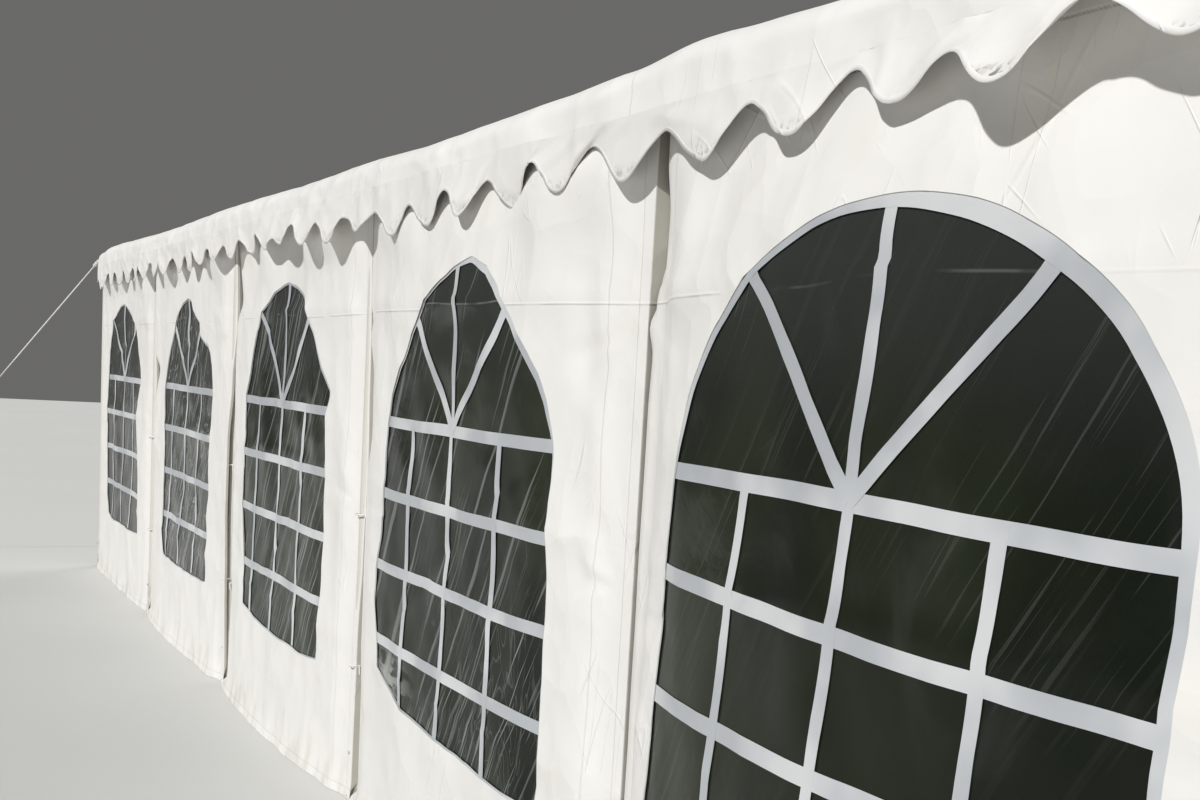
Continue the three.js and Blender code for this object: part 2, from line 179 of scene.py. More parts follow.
def pvc_cloth(name, seams_u=(), seams_v=(), tint=(0.83, 0.815, 0.785), edge_dirt=False, foot_dirt=False,
              turned_from=None):
    """Coated cloth: semi-gloss, creased, faintly soiled, with welded seams along the given UV lines. Beyond
    turned_from it is a turned hem, coloured a dark grey-beige that is painted shade."""
    cloth = Finish(name, IOR=1.46)
    spot = cloth.place()
    flat = cloth.place("UV")
    u, v = cloth.along(flat, 0), cloth.along(flat, 1)
    broad = cloth.noise(spot, 0.9, 4.0)
    soil = cloth.noise(spot, 5.0, 6.0)
    greyed, warmed = (tuple(c * s for c, s in zip(tint, shade)) + (1,)
                      for shade in ((0.88, 0.885, 0.88), (0.97, 0.935, 0.86)))
    colour = cloth.blend(broad.ramp(0.45, 0.75) * 0.5, (*tint, 1), greyed)
    colour = cloth.blend(soil.ramp(0.56, 0.78) * 0.35, colour, warmed)
    lines = None
    for wire, places in ((u, seams_u), (v, seams_v)):
        for place in places:
            line = wire.near(place, SEAM_HALF)
            lines = lines.larger(line) if lines else line
    surface = cloth.bump(cloth.noise(spot, 420.0, 1.0), 0.0004, 0.25)
    if lines:
        stitches = ((u + v) * (2 * math.pi / STITCH)).math("SINE").ramp(-0.2, 0.6)
        lines = lines * (0.55 + 0.45 * stitches)
        colour = cloth.blend(lines * 0.3, colour, (0.55, 0.54, 0.5, 1))
        surface = cloth.bump(-lines, 0.0015, 0.8, under=surface)
    if turned_from is not None:
        # Painted shade: the turned hem is coloured a dark grey-beige.
        colour = cloth.blend(u.ramp(turned_from, turned_from + 0.004), colour, TURNED_HEM_SHADE)
    if edge_dirt:
        at_tips = (1 - cloth.along(spot, 2).ramp(1.925, 1.955)) * (1 - v.ramp(0.010, 0.045))
        worst = 0.3 + 0.7 * cloth.along(spot, 0).ramp(3.0, 4.1)
        specks = cloth.noise(spot, 75.0, 3.0).ramp(0.50, 0.60) * at_tips * worst
        colour = cloth.blend(specks * 0.8, colour, (0.13, 0.125, 0.105, 1))
        smear = cloth.noise(spot, 14.0, 4.0).ramp(0.46, 0.66) * at_tips
        colour = cloth.blend(smear * 0.45, colour, (0.36, 0.34, 0.29, 1))
    if foot_dirt:
        height = cloth.along(spot, 2)
        splash = cloth.noise(cloth.turned(spot, (1, 1, 0.4)), 14.0, 5.0).ramp(0.42, 0.7)
        splash = splash * (1 - height.ramp(0.0, 0.2))
        colour = cloth.blend(splash * 0.4, colour, (0.42, 0.40, 0.30, 1))
        fold = (height + 0.03 * cloth.noise(spot, 1.2, 1.0)).near(1.668, 0.005)
        fold = fold * cloth.noise(spot, 3.0, 1.0).ramp(0.40, 0.52)
        surface = cloth.bump(fold, 0.0022, 0.8, under=surface)
    crumple = cloth.noise(spot, 11.0, 4.0, warp=0.6)
    patchy = cloth.noise(spot, 1.7, 2.0).ramp(0.36, 0.62)
    surface = cloth.bump(crumple, 0.0045, 0.35, under=surface)
    surface = cloth.bump(cloth.facets(spot, 3.4, 0.06), 0.020, 0.5, under=surface)
    surface = cloth.bump(cloth.facets(spot, 9.5, 0.05) * patchy, 0.011, 0.5, under=surface)
    broken = cloth.noise(spot, 4.5, 2.0).ramp(0.52, 0.64)
    sheet = {0: cloth.along(spot, 0) + cloth.along(spot, 1), 1: cloth.along(spot, 2)}
    sheet = cloth.node("ShaderNodeCombineXYZ", {}, sheet)
    for turn, scale, raised in ((0.5, 5.0, 0.0020), (-0.8, 7.0, 0.0013), (0.1, 9.0, 0.0012)):
        drawn = cloth.turned(cloth.turned(sheet, (1, 1, 1), (0.0, 0.0, turn)), (1.0, 0.2, 1.0))
        crease = cloth.noise(drawn, scale, 0.6).near(0.5, 0.010)
        surface = cloth.bump(crease * broken, raised, 0.7, under=surface)
    return cloth.feed(Base_Color=colour, Roughness=0.38 + 0.16 * soil + 0.10 * broad, Normal=surface)


def facing(side, x, out, z):
    """A point of a side drawn as if it faced the front: x along it, out from the middle, and up."""
    turned = {"front": (x, -out), "back": (-x, out), "near": (out, x), "far": (-out, -x)}
    return Vector((*turned[side], z))


def pick(*objects):
    """Selects just these objects and makes the first one active."""
    bpy.ops.object.select_all(action="DESELECT")
    for piece in objects:
        piece.select_set(True)
    bpy.context.view_layer.objects.active = objects[0]


SHARP_EDGE = math.radians(62)


def cloth_piece(name, points, faces, flat, material, thickness=CLOTH):
    """A smooth closed sheet from points, quads and UVs in metres, thickened inwards."""
    mesh = bpy.data.meshes.new(name)
    mesh.from_pydata([tuple(p) for p in points], [], faces)
    layer = mesh.uv_layers.new(name="flat")
    for loop in mesh.loops:
        layer.data[loop.index].uv = flat[loop.vertex_index]
    mesh.materials.append(material)
    piece = bpy.data.objects.new(name, mesh)
    bpy.context.scene.collection.objects.link(piece)
    pick(piece)
    if thickness:
        skin = piece.modifiers.new("skin", "SOLIDIFY")
        skin.thickness = thickness
        skin.offset = -1
        bpy.ops.object.modifier_apply(modifier=skin.name)
    bpy.ops.object.shade_smooth_by_angle(angle=SHARP_EDGE)
    return piece


def own(piece, slot, *nodes):
    """Fixes a piece to the tent and lets it stand for the plain solids it was made from."""
    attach(piece, "root")
    for node in nodes:
        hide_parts(node)


def grid_faces(columns, rows, closed=False):
    """Quads of a grid whose points run row by row up each column."""
    high = rows + 1
    wrap = columns if closed else columns + 1
    faces = []
    for i in range(columns):
        for j in range(rows):
            a, b = i * high + j, ((i + 1) % wrap) * high + j
            faces.append((a, b, b + 1, a + 1))
    return faces


def wrinkle(x, y, seed, scale=1.0):
    """Smooth noise of about one unit, the same each time."""
    return noise.noise(Vector((x * scale + 17.3 * seed, y * scale - 5.1 * seed, 0.37 * seed)))


def smooth(value, low, high):
    """0 at low and 1 at high, with a smooth rise between them. Either of the two may be the greater."""
    t = max(0.0, min(1.0, (value - low) / (high - low)))
    return t * t * (3 - 2 * t)


def frame_x(line):
    """Where a frame line stands, counted from the far end."""
    return BAY * line - HALF_LENGTH


def between_frames(x):
    """0 over a frame and 1 half-way to the next."""
    return math.sin(math.pi * (x + HALF_LENGTH) / BAY) ** 2 if abs(x) < HALF_LENGTH else 0.0


def ridge(x, y, seed, scale):
    """Creased noise: narrow folds standing up from level cloth, from about 0 to 1."""
    return max(0.0, 1 - 3.2 * abs(wrinkle(x, y, seed, scale))) ** 2


# How far the cloth over an eave stands out in its swells, folds, creases and grain.
BAND_SWELL, BAND_FOLDS, BAND_CREASES, BAND_GRAIN = 0.010, (0.011, 0.006), (0.007, 0.005), 0.0020
FOLD_SLANT = 1.5
FRONT_SEED, BACK_SEED = 1, 5


def band_folds(x, z, seed):
    """The slanting folds of the cloth that hangs over an eave, as a distance out."""
    slant, rise = x - FOLD_SLANT * z, x + z
    out = BAND_SWELL * wrinkle(x, 0.0, seed, 1.4) + BAND_GRAIN * wrinkle(x, z, seed + 2, 20.0)
    out += BAND_FOLDS[0] * wrinkle(slant, 0.3 * rise, seed, 4.0)
    out += BAND_FOLDS[1] * wrinkle(slant, 0.4 * rise, seed + 1, 8.5)
    out += BAND_CREASES[0] * ridge(slant, 0.35 * rise, seed + 3, 3.1)
    return out + BAND_CREASES[1] * ridge(x + 0.8 * z, z, seed + 4, 3.7)


TIP, QUARTER = math.atan(SLOPE), math.pi / 2
SLOPE_END = LIP_OUT - ROLL_R * (1 - math.sin(TIP))
SLOPE_LOW = RIDGE_TOP - SLOPE * SLOPE_END
SLOPE_RUN = SLOPE_END * math.hypot(1, SLOPE)
ROLL_RUN = ROLL_R * (QUARTER - TIP)
LIP_RUN = SLOPE_LOW - ROLL_R * math.cos(TIP) - LIP_Z


def cover_section(run):
    """Half of the roof's section at a run from the ridge: out, height and how far into the roll it is."""
    if run <= SLOPE_RUN:
        out = run / math.hypot(1, SLOPE)
        return out, RIDGE_TOP - SLOPE * out, 0.0
    turned = TIP + (run - SLOPE_RUN) / ROLL_R
    if turned <= QUARTER:
        out = SLOPE_END + ROLL_R * (math.sin(turned) - math.sin(TIP))
        return out, SLOPE_LOW - ROLL_R * (math.cos(TIP) - math.cos(turned)), (turned - TIP) / (QUARTER - TIP)
    return LIP_OUT, SLOPE_LOW - ROLL_R * math.cos(TIP) - (run - SLOPE_RUN - ROLL_RUN), 1.0


CM, MM = 100, 1000


def metres(table, *parts):
    """A table of whole numbers with each column divided by how many of its unit make a metre."""
    return [tuple(value / part for value, part in zip(row, parts)) for row in table]


def between(pairs, at):
    """The value at a place of a smooth line through (place, value) pairs."""
    for (x0, y0), (x1, y1) in zip(pairs, pairs[1:]):
        if at <= x1:
            share = smooth(at, x0, x1)
            return y0 * (1 - share) + y1 * share
    return pairs[-1][1]


# How high the front eave's edge lies above its frame tube's line, along the tent.
FRONT_EAVE = metres((
    (-504, 10), (-440, 12), (-240, -4), (-75, 7), (30, -2), (110, 2), (170, -7), (210, -2), (260, 2),
    (295, 8), (325, 25), (350, 18), (390, 10), (450, 4), (504, 4)), CM, MM)
CORNER_PULL = 0.046


def drawn_in(point):
    """The far front corner, where the guy rope pulls the cover in against the leg."""
    pull = CORNER_PULL * smooth(-point.x, 4.25, COVER_END) * smooth(-point.y, 2.05, 2.6)
    return point + Vector((0, pull, 0))


COVER_SAG, BACK_EAVE_SAG, BACK_EAVE_WAVE = 0.026, 0.012, 0.006
COVER_CREASES = (0.006, 0.003)


def cover_point(x, run, side):
    """The cover's outer face at x, a run from the ridge down the front (-1) or the back (1)."""
    out, z, rolled = cover_section(run)
    down = min(1.0, run / SLOPE_RUN)
    low = smooth(down, 0.93, 1.0)
    seed, line = FRONT_SEED, between(FRONT_EAVE, x)
    if side > 0:
        seed = BACK_SEED
        line = BACK_EAVE_WAVE * wrinkle(x, 9.0, seed, 1.7) - BACK_EAVE_SAG * between_frames(x)
    sag = COVER_SAG * between_frames(x) * math.sin(math.pi * down)
    dip = low * line * (1 - smooth(z, 2.08, LIP_Z))
    creases = COVER_CREASES[0] * wrinkle(x, side * run, 3, 2.2)
    creases += COVER_CREASES[1] * wrinkle(x + run, side * run, 4, 7.0)
    rolled_out = band_folds(x, z, seed) * (0.35 + 0.65 * rolled) * low
    z += dip - sag + (creases + 0.5 * rolled_out) * (1 - rolled) * (1 - 0.5 * low)
    return drawn_in(Vector((x, side * (out + rolled_out * rolled), z)))


def sheet_grid(name, columns, rows, place, material, thickness=CLOTH):
    """A sheet as a grid. place gives a point and its place on the flat cloth at a share of each way."""
    points, flat = zip(*(place(i / columns, j / rows) for i in range(columns + 1) for j in range(rows + 1)))
    return cloth_piece(name, points, grid_faces(columns, rows), flat, material, thickness)


SLOPE_ROWS, ROLL_ROWS, LIP_ROWS, COVER_COLUMNS = 26, 10, 4, 370
runs = [SLOPE_RUN * k / SLOPE_ROWS for k in range(SLOPE_ROWS)]
runs += [SLOPE_RUN + ROLL_RUN * k / ROLL_ROWS for k in range(ROLL_ROWS)]
runs += [SLOPE_RUN + ROLL_RUN + LIP_RUN * k / LIP_ROWS for k in range(LIP_ROWS + 1)]
down_both = [(-1, r) for r in reversed(runs[1:])] + [(1, r) for r in runs]


def cover_place(s, t):
    """A point of the cover and its place on the flat cloth, at a share of its length and down both slopes."""
    x = COVER_END * (2 * s - 1)
    side, run = down_both[round(t * (len(down_both) - 1))]
    return cover_point(x, run, side), (x, side * run)


roof_cloth = pvc_cloth("roof cloth", seams_u=[frame_x(line) for line in range(6)], tint=(0.87, 0.855, 0.825))
roof = sheet_grid("roof_cover_cloth", COVER_COLUMNS, len(down_both) - 1, cover_place, roof_cloth)
own(roof, "sheeting", "roof_cover")

# ---------------------------------------------------------------- Valances
# A scalloped band of the same cloth is stitched under the lip of the cover on all four sides. It is bound
# along its edge with folded white tape, and it hangs free, so it ripples and its tips have gone dirty.

SCALLOP = 0.30545
NOTCH_Z, TIP_Z, SEWN_LAP = 1.984, 1.905, 0.02
TAPE_HIGH, TAPE_THICK, TAPE_UNDER = 0.009, 0.0028, 0.001
# How far out the hem of the front stands, how high it is and how far it is pulled along, at each half
# scallop from the 12th notch on.
FRONT_HEM = metres((
    (49, 1964, 0), (24, 1897, 0), (37, 1961, 0), (47, 1899, 0), (31, 1960, 0), (31, 1897, 0), (36, 1966, 0),
    (13, 1905, 0), (41, 1973, 0), (36, 1903, 0), (46, 1938, 0), (56, 1908, 0), (60, 1971, 0), (57, 1888, 0),
    (44, 1957, 0), (41, 1878, 0), (42, 1953, 0), (52, 1900, 0), (30, 1949, 0), (26, 1870, 0), (33, 1949, 0),
    (16, 1882, -25), (18, 1972, -55), (16, 1892, -80), (-10, 1976, -96), (-29, 1896, -101), (3, 1993, -108),
    (-2, 1909, -103), (-10, 1998, -102), (-11, 1906, -89), (-12, 1991, -53), (2, 1912, -18), (7, 1996, 0),
    (20, 1921, 0), (6, 2011, 0), (28, 1934, 0), (48, 1984, 0), (88, 1914, 0), (84, 2000, 0), (78, 1930, 0),
    (60, 1995, 0), (45, 1915, 0), (30, 1985, 0), (20, 1905, 0)), MM, MM, MM)
FRONT_HEM_FROM = 12

valance_cloth = pvc_cloth("valance cloth", edge_dirt=True)
tape_cloth = pvc_cloth("edge tape", tint=(0.86, 0.85, 0.83))

# How far out a hem stands, and at least stands, how much closer to the panels the front one hangs, and how
# far it drops before its table starts.
HEM_STAND, HEM_LEAST, HEM_HANGS_IN, FAR_HEM_DROP = 0.024, 0.012, 0.034, 0.024
# How much the hem lifts where it hangs in, how soon it swings out from the band's two ends, how it curves
# out on its way down and how soon its folds start below the lip.
HEM_LIFT, END_SWING, HEM_CURVE, FOLD_START = 0.3, 12, 1.3, 3


def plain_hem(turns, seed):
    """How far out a hem hangs, how high it is and how far it is pulled along, some scallops along it."""
    loose = HEM_STAND + 0.034 * wrinkle(turns, 2.0, seed, 0.85) + 0.016 * wrinkle(turns, 4.0, seed, 1.9)
    wave = math.cos(2 * math.pi * (turns + 0.09 * wrinkle(turns, 1.0, seed, 0.9)))
    high = (NOTCH_Z + TIP_Z) / 2 + (NOTCH_Z - TIP_Z) / 2 * (wave - 0.08 * (1 - wave * wave))
    return max(HEM_LEAST, loose), high + 0.008 * wrinkle(turns, 6.0, seed, 0.9), 0.0


def hangs_in(x):
    """How much closer to the panels the front band hangs than its straight line, along the tent."""
    return HEM_HANGS_IN * (1 - smooth(x, 1.5, 2.3))


def front_hem(turns, seed):
    """The hem of the front, which follows the table from its first notch on and is plain before that."""
    at = 2 * (turns - FRONT_HEM_FROM)
    if at < 0:
        out, high, aside = plain_hem(turns, seed)
        share, before, after = smooth(at, -1, 0), (out, high - FAR_HEM_DROP, aside), FRONT_HEM[0]
    else:
        k = min(int(at), len(FRONT_HEM) - 2)
        share = 0.5 - 0.5 * math.cos(math.pi * min(1.0, at - k))
        before, after = FRONT_HEM[k:k + 2]
    return tuple(a * (1 - share) + b * share for a, b in zip(before, after))


WELD = 1e-6


def close_seams(piece):
    """Welds the joins of a folded strip, caps its ends and turns its faces outwards."""
    pick(piece)
    bpy.ops.object.mode_set(mode="EDIT")
    bpy.ops.mesh.select_all(action="SELECT")
    bpy.ops.mesh.remove_doubles(threshold=WELD)
    bpy.ops.mesh.select_all(action="DESELECT")
    bpy.ops.mesh.select_non_manifold()
    bpy.ops.mesh.edge_face_add()
    bpy.ops.mesh.select_all(action="SELECT")
    bpy.ops.mesh.normals_make_consistent(inside=False)
    bpy.ops.object.mode_set(mode="OBJECT")


def valance(name, side, half, top_of, hem, seed, columns, rows, node):
    """A band and the tape along its edge. top_of(x) gives how far out the line that it is sewn to lies."""
    count = round(2 * half / SCALLOP)
    hand = -1 if side == "back" else 1
    points, flat, edge = [], [], []
    for i in range(columns + 1):
        s = i / columns
        x = -half + 2 * half * s
        nearer = hangs_in(x) if side == "front" else 0.0
        seen_aside = nearer * (EYE.x - x) / (-EYE.y - LIP_OUT)
        stand, low_z, aside = hem(count * s + seen_aside / SCALLOP, seed)
        stand, low_z = stand - nearer, low_z + HEM_LIFT * nearer
        swung = stand * min(1.0, END_SWING * s, END_SWING * (1 - s))
        column = []
        for j in range(rows + 1):
            t = 1 - j / rows
            z = LIP_Z + (low_z - LIP_Z) * t
            folds = band_folds(x * hand, z, seed) - band_folds(x * hand, LIP_Z, seed)
            out = top_of(x) + swung * t ** HEM_CURVE + folds * min(1.0, FOLD_START * t)
            column.append(Vector((x + aside * t, out, z)))
        points += [drawn_in(facing(side, *p)) for p in column]
        flat += [(x, p.z - low_z) for p in column]
        edge.append((column[0], (column[1] - column[0]).normalized()))
    band = cloth_piece(name, points, grid_faces(columns, rows), flat, valance_cloth)
    tape_points, tape_flat = [], []
    for i, (low, up) in enumerate(edge):
        ahead_of = edge[min(i + 1, columns)][0] - edge[max(i - 1, 0)][0]
        face = up.cross(ahead_of).normalized()
        face = face if face.y > 0 else -face
        foot, head, face = low - up * TAPE_UNDER, low + up * TAPE_HIGH, face * (TAPE_THICK / 2)
        ring = [p - Vector((0, CLOTH / 2, 0)) for p in (foot + face, head + face, head - face, foot - face)]
        tape_points += [drawn_in(facing(side, *p)) for p in ring + [ring[0]]]
        tape_flat += [(low.x, k * TAPE_HIGH) for k in range(5)]
    tape = cloth_piece(name + "_tape", tape_points, grid_faces(columns, 4), tape_flat, tape_cloth, 0)
    close_seams(tape)
    own(band, "sheeting", node)
    own(tape, "sheeting", node)


valance("front_valance_cloth", "front", COVER_END, lambda x: LIP_OUT + band_folds(x, LIP_Z, FRONT_SEED),
        front_hem, FRONT_SEED, columns=1000, rows=12, node="front_valance")
valance("back_valance_cloth", "back", COVER_END, lambda x: LIP_OUT + band_folds(-x, LIP_Z, BACK_SEED),
        plain_hem, BACK_SEED, columns=600, rows=10, node="back_valance")

# ---------------------------------------------------------------- Side panels
# Each bay is closed by a hung sheet of PVC cloth with an arched window sewn into it. Both its side hems are
# turned in and tied back to the legs. It is slack, so it bellies out, and it has pack creases.

PANEL_FAR, PANEL_NEAR, PANEL_TOP, PANEL_OUT = -0.965, 1.029, 2.118, 2.5333
WINDOW_HALF, WINDOW_SILL, WINDOW_SPRING, WINDOW_TOP = 0.655, 0.41, 1.315, 1.795
WINDOW_MIDDLE = 1.08
PACK_CREASES, CREASE_DEPTHS = (0.55, 1.12, 1.68), (0.006, 0.005, 0.013)
NEAR_BAY = 4
# How far each bay's sheet stands out in its middle at 1 m up, and how much less at each metre above that.
BELLY = {"front": (-0.010, 0.0, 0.018, 0.054, 0.155), "back": (0.02, 0.05, 0.03, 0.045, 0.01)}
BELLY_LEAN = {"front": (0.012, 0.034, 0.031, 0.003, 0.080), "back": (0.03, 0.02, 0.03, 0.01, 0.03)}
# Up the leg, how deep the far hem of each front bay is tucked in beside it, and the near hem that faces it.
FAR_HEM = [metres(hem, CM, MM) for hem in (
    ((0, 42), (210, 42)),
    ((0, 42), (38, 37), (108, 30), (123, 40), (140, 55), (150, 26), (176, 15), (210, 12)),
    ((0, 50), (40, 46), (112, 34), (139, 27), (161, 29), (173, 55), (191, 50), (210, 45)),
    ((0, 45), (38, 41), (56, 30), (98, 27), (115, 30), (125, 46), (144, 45), (159, 20), (163, 27),
     (170, 11), (179, 12), (210, 10)),
    ((0, 12), (142, 11), (154, 14), (160, 4), (166, 23), (173, 43), (184, 45), (194, 31), (210, 25)),
)]
NEAR_HEM = [metres(hem, CM, MM) for hem in (
    ((0, 10), (17, 22), (65, 29), (130, 22), (158, 16), (210, 8)),
    ((0, 4), (47, -5), (81, -12), (111, -11), (138, 4), (162, 19), (210, 10)),
    ((0, 4), (56, 7), (84, 16), (114, 21), (144, 16), (194, 8), (210, 6)),
    ((0, 4), (210, 1)),
    ((0, 3), (210, 3)),
)]
# How far each bay's near hem is turned in beside the leg.
TURNED_IN, BACK_TURNED_IN = (0.010, 0.010, 0.036, 0.052, 0.030), 0.02
HEM_EASE, HEM_ROWS = 0.002, 3
# How far along the panel the tuck runs out, for each unit of its depth.
TUCK_RUN = (2.5, 4.9, 3.8, 2.7, 1.7)
# The openings of the four far front windows as the slack cloth leaves them, in centimetres, from the top of
# the arch down the near side, along the sill and up the far side.
OPENINGS = (
    ((1, 178), (25, 172), (42, 164), (52, 156), (60, 146), (64, 138), (66, 131), (62, 127), (55, 120),
     (53, 113), (54, 104), (58, 94), (63, 85), (66, 65), (67, 52), (67, 41), (42, 40), (-38, 40), (-50, 42),
     (-55, 60), (-58, 81), (-60, 97), (-61, 114), (-58, 130), (-55, 147), (-50, 159), (-43, 167),
     (-29, 173), (-14, 177)),
    ((0, 177), (8, 176), (13, 171), (21, 168), (30, 165), (32, 159), (42, 156), (53, 154), (59, 150),
     (63, 145), (65, 137), (66, 130), (64, 123), (63, 115), (62, 107), (62, 99), (66, 83), (63, 72),
     (66, 62), (67, 51), (67, 41), (46, 40), (-7, 40), (-41, 41), (-46, 51), (-47, 73), (-51, 95),
     (-53, 108), (-56, 126), (-56, 133), (-50, 144), (-44, 152), (-35, 160), (-31, 166), (-24, 171),
     (-13, 175)),
    ((-1, 179), (12, 177), (26, 173), (32, 168), (35, 165), (44, 160), (50, 154), (56, 147), (63, 142),
     (67, 139), (67, 136), (65, 133), (63, 130), (64, 125), (65, 118), (66, 111), (66, 98), (67, 87),
     (67, 42), (46, 40), (-9, 41), (-33, 43), (-46, 45), (-49, 55), (-52, 76), (-57, 86), (-58, 116),
     (-61, 124), (-62, 133), (-58, 139), (-55, 145), (-51, 152), (-46, 160), (-40, 166), (-32, 171),
     (-19, 176)),
    ((10, 179), (22, 176), (31, 170), (36, 166), (43, 159), (50, 154), (56, 149), (61, 143), (64, 135),
     (65, 129), (65, 121), (64, 111), (66, 101), (66, 63), (67, 49), (66, 42), (43, 42), (27, 43), (10, 44),
     (-9, 45), (-32, 46), (-58, 54), (-64, 73), (-64, 84), (-60, 96), (-59, 112), (-60, 131), (-56, 140),
     (-44, 151), (-37, 159), (-30, 165), (-18, 171), (-5, 176)),
)
# Dents in the front panels: bay, place along it, height, half-width, half-height and depth.
DENTS = metres((
    (4, -62, 186, 10, 12, 14), (4, -72, 156, 7, 10, 10), (4, 30, 193, 16, 7, 12), (3, -72, 180, 10, 13, 22),
    (3, -66, 152, 10, 9, 10), (3, 78, 156, 5, 11, 11), (3, 80, 108, 5, 6, 8), (2, -60, 186, 12, 8, 14),
    (2, 55, 184, 16, 6, 14), (1, 45, 180, 12, 12, 16), (1, -75, 172, 10, 8, 14), (1, 60, 162, 8, 5, 12),
    (0, -70, 174, 10, 12, 12), (0, 72, 162, 8, 7, 12)), 1, CM, CM, CM, CM, MM)

# How far the top of the front panels is pushed out under the band, along the tent.
CROWN_Z = 1.945
CROWN = metres((
    (-504, 20), (-430, 34), (-400, 34), (-380, -8), (-360, 24), (-330, 34), (-305, 12), (-280, 16),
    (-250, 34), (-210, 24), (-188, -10), (-168, -8), (-145, 36), (-100, 36), (-70, 16), (-50, 4), (-30, 34),
    (-12, 0), (8, -22), (30, 30), (60, 38), (80, 18), (95, 6), (115, 30), (140, 26), (178, 10), (205, 6),
    (230, 8), (260, 30), (285, 34), (310, 16), (340, 0)), CM, MM)
# How far the sheet stands clear of the legs, and the heights of what the slack cloth does.
PANEL_CLEAR, BELLY_MOST, SOFT_SWELL, CLOTH_RIPPLE = 0.004, 0.18, 0.010, 0.0024
PANEL_FOLDS, CRUMPLES, GATHERS = (0.007, 0.004), (0.008, 0.0035), (0.020, 0.014)
FOOT_HIGH, FOOT_KICK = 0.14, (0.006, 0.022)
# How far the far hem is drawn from the leg line, how far that of the first bay is, and how much it wavers.
HEM_DRAWN, FIRST_DRAWN, DRAWN_WAVE = 0.007, 0.020, 0.003
# Where the near and far edges are held: at the top and at two rows of eyelets.
HELD_AT, HELD_SIDE = (PANEL_TOP, 1.60, 1.02), 0.99
PANEL_MESH = {"front": (460, 20), "back": (260, 13)}


def hem_depth(hems, side, bay, z):
    """How deep a hem lies behind the panel's plane at a height, clear of the foot plate."""
    pairs = hems[bay] if side == "front" else hems[(bay * 2 + 3) % 5]
    return between(pairs, z) * smooth(z, 0.004, 0.05)


def panel_seed(side, bay):
    """Where the noise of a panel, its film and its strips starts, so that no two are alike."""
    return 3 + 7 * bay + (40 if side == "back" else 0)


def bay_middle(bay):
    """Where the middle of a bay lies along the tent."""
    return frame_x(bay + 0.5)


def crumpled(x, z, seed, scale):
    """Shallow hollows that meet at sharp folds, from 0 up to about 0.7."""
    nearest = noise.voronoi(Vector((x * scale + 3.1 * seed, z * scale - 1.7 * seed, 0.5)))[0][0]
    return nearest * nearest


def gathered(x, z, hand, seed):
    """Folds that run out from where a panel's upper corner and its eyelets are drawn to the leg."""
    total = 0.0
    for high in HELD_AT:
        dx, dz = hand * HELD_SIDE - x, high - z
        reach = math.hypot(dx, dz)
        fan = wrinkle(2.4 * math.atan2(dz, dx), 0.8 * reach, seed + high, 1.6)
        total += math.exp(-reach / 0.20) * min(1.0, reach / 0.05) * fan
    return total


def panel_swell(side, bay, x, z):
    """How far a side panel and its window stand out from flat at a place of its bay."""
    seed = panel_seed(side, bay)
    belly = (BELLY[side][bay] - BELLY_LEAN[side][bay] * (z - 1)) * (1 - min(1.0, x * x))
    belly = min(belly, BELLY_MOST) * (1 - 0.9 * smooth(z, 1.72, 2.12))
    tall = math.sin(math.pi * min(1.0, z / PANEL_TOP))
    loose = SOFT_SWELL * tall * wrinkle(x, z * 0.35, seed, 1.3)
    loose += PANEL_FOLDS[0] * wrinkle(x, z * 0.3, seed + 5, 4.3)
    loose += PANEL_FOLDS[1] * wrinkle(x + 0.25 * z, z * 0.5, seed + 9, 8.0)
    loose += CLOTH_RIPPLE * wrinkle(x, z, seed + 14, 7.0) + CRUMPLES[0] * crumpled(x, z, seed, 3.3)
    loose += CRUMPLES[1] * crumpled(x + 0.3 * z, z - 0.2 * x, seed + 1, 8.0)
    loose += GATHERS[0] * gathered(x, z, -1, seed + 2) + GATHERS[1] * gathered(x, z, 1, seed + 3)
    creases = 0.0
    for k, (height, deep) in enumerate(zip(PACK_CREASES, CREASE_DEPTHS)):
        above = z - height - 0.010 * wrinkle(x, k, seed + 2, 1.8)
        sharp = math.exp(-above / 0.022 if above > 0 else above / 0.045)
        strong = deep * (0.8 + 0.6 * wrinkle(x, k, seed + 7, 2.2))
        creases += strong * (0.7 * sharp + 0.4 * math.exp(-abs(above) / 0.09))
    edge = smooth(abs(x), 0.995, 0.86)
    kicked = FOOT_KICK[0] + FOOT_KICK[1] * abs(wrinkle(x, 0, seed + 21, 2.0))
    foot = max(0.0, 1 - z / FOOT_HIGH) ** 2 * kicked * (0.3 + 0.7 * edge)
    loose = loose * (0.25 + 0.75 * edge) + creases * (0.35 + 0.65 * edge)
    if side == "front":
        for at, dx, dz, wide, high, deep in DENTS:
            if at == bay:
                loose -= deep * math.exp(-((x - dx) / wide) ** 2 - ((z - dz) / high) ** 2)
        away = (z - CROWN_Z) / (0.105 if z < CROWN_Z else 0.085)
        loose += between(CROWN, x + bay_middle(bay)) * math.exp(-away * away)
    depth = hem_depth(FAR_HEM, side, bay, z)
    reach = max(0.035, TUCK_RUN[bay] * depth)
    tuck = depth * (1 - smooth(x, PANEL_FAR, PANEL_FAR + reach))
    free = smooth(x, PANEL_FAR + 0.4 * reach, PANEL_FAR + 0.24)
    rest = max(0.0, PANEL_CLEAR + (belly + loose) * free) + foot
    held = smooth(x, 0.84, PANEL_NEAR)
    return rest * (1 - held) - hem_depth(NEAR_HEM, side, bay, z) * held - tuck


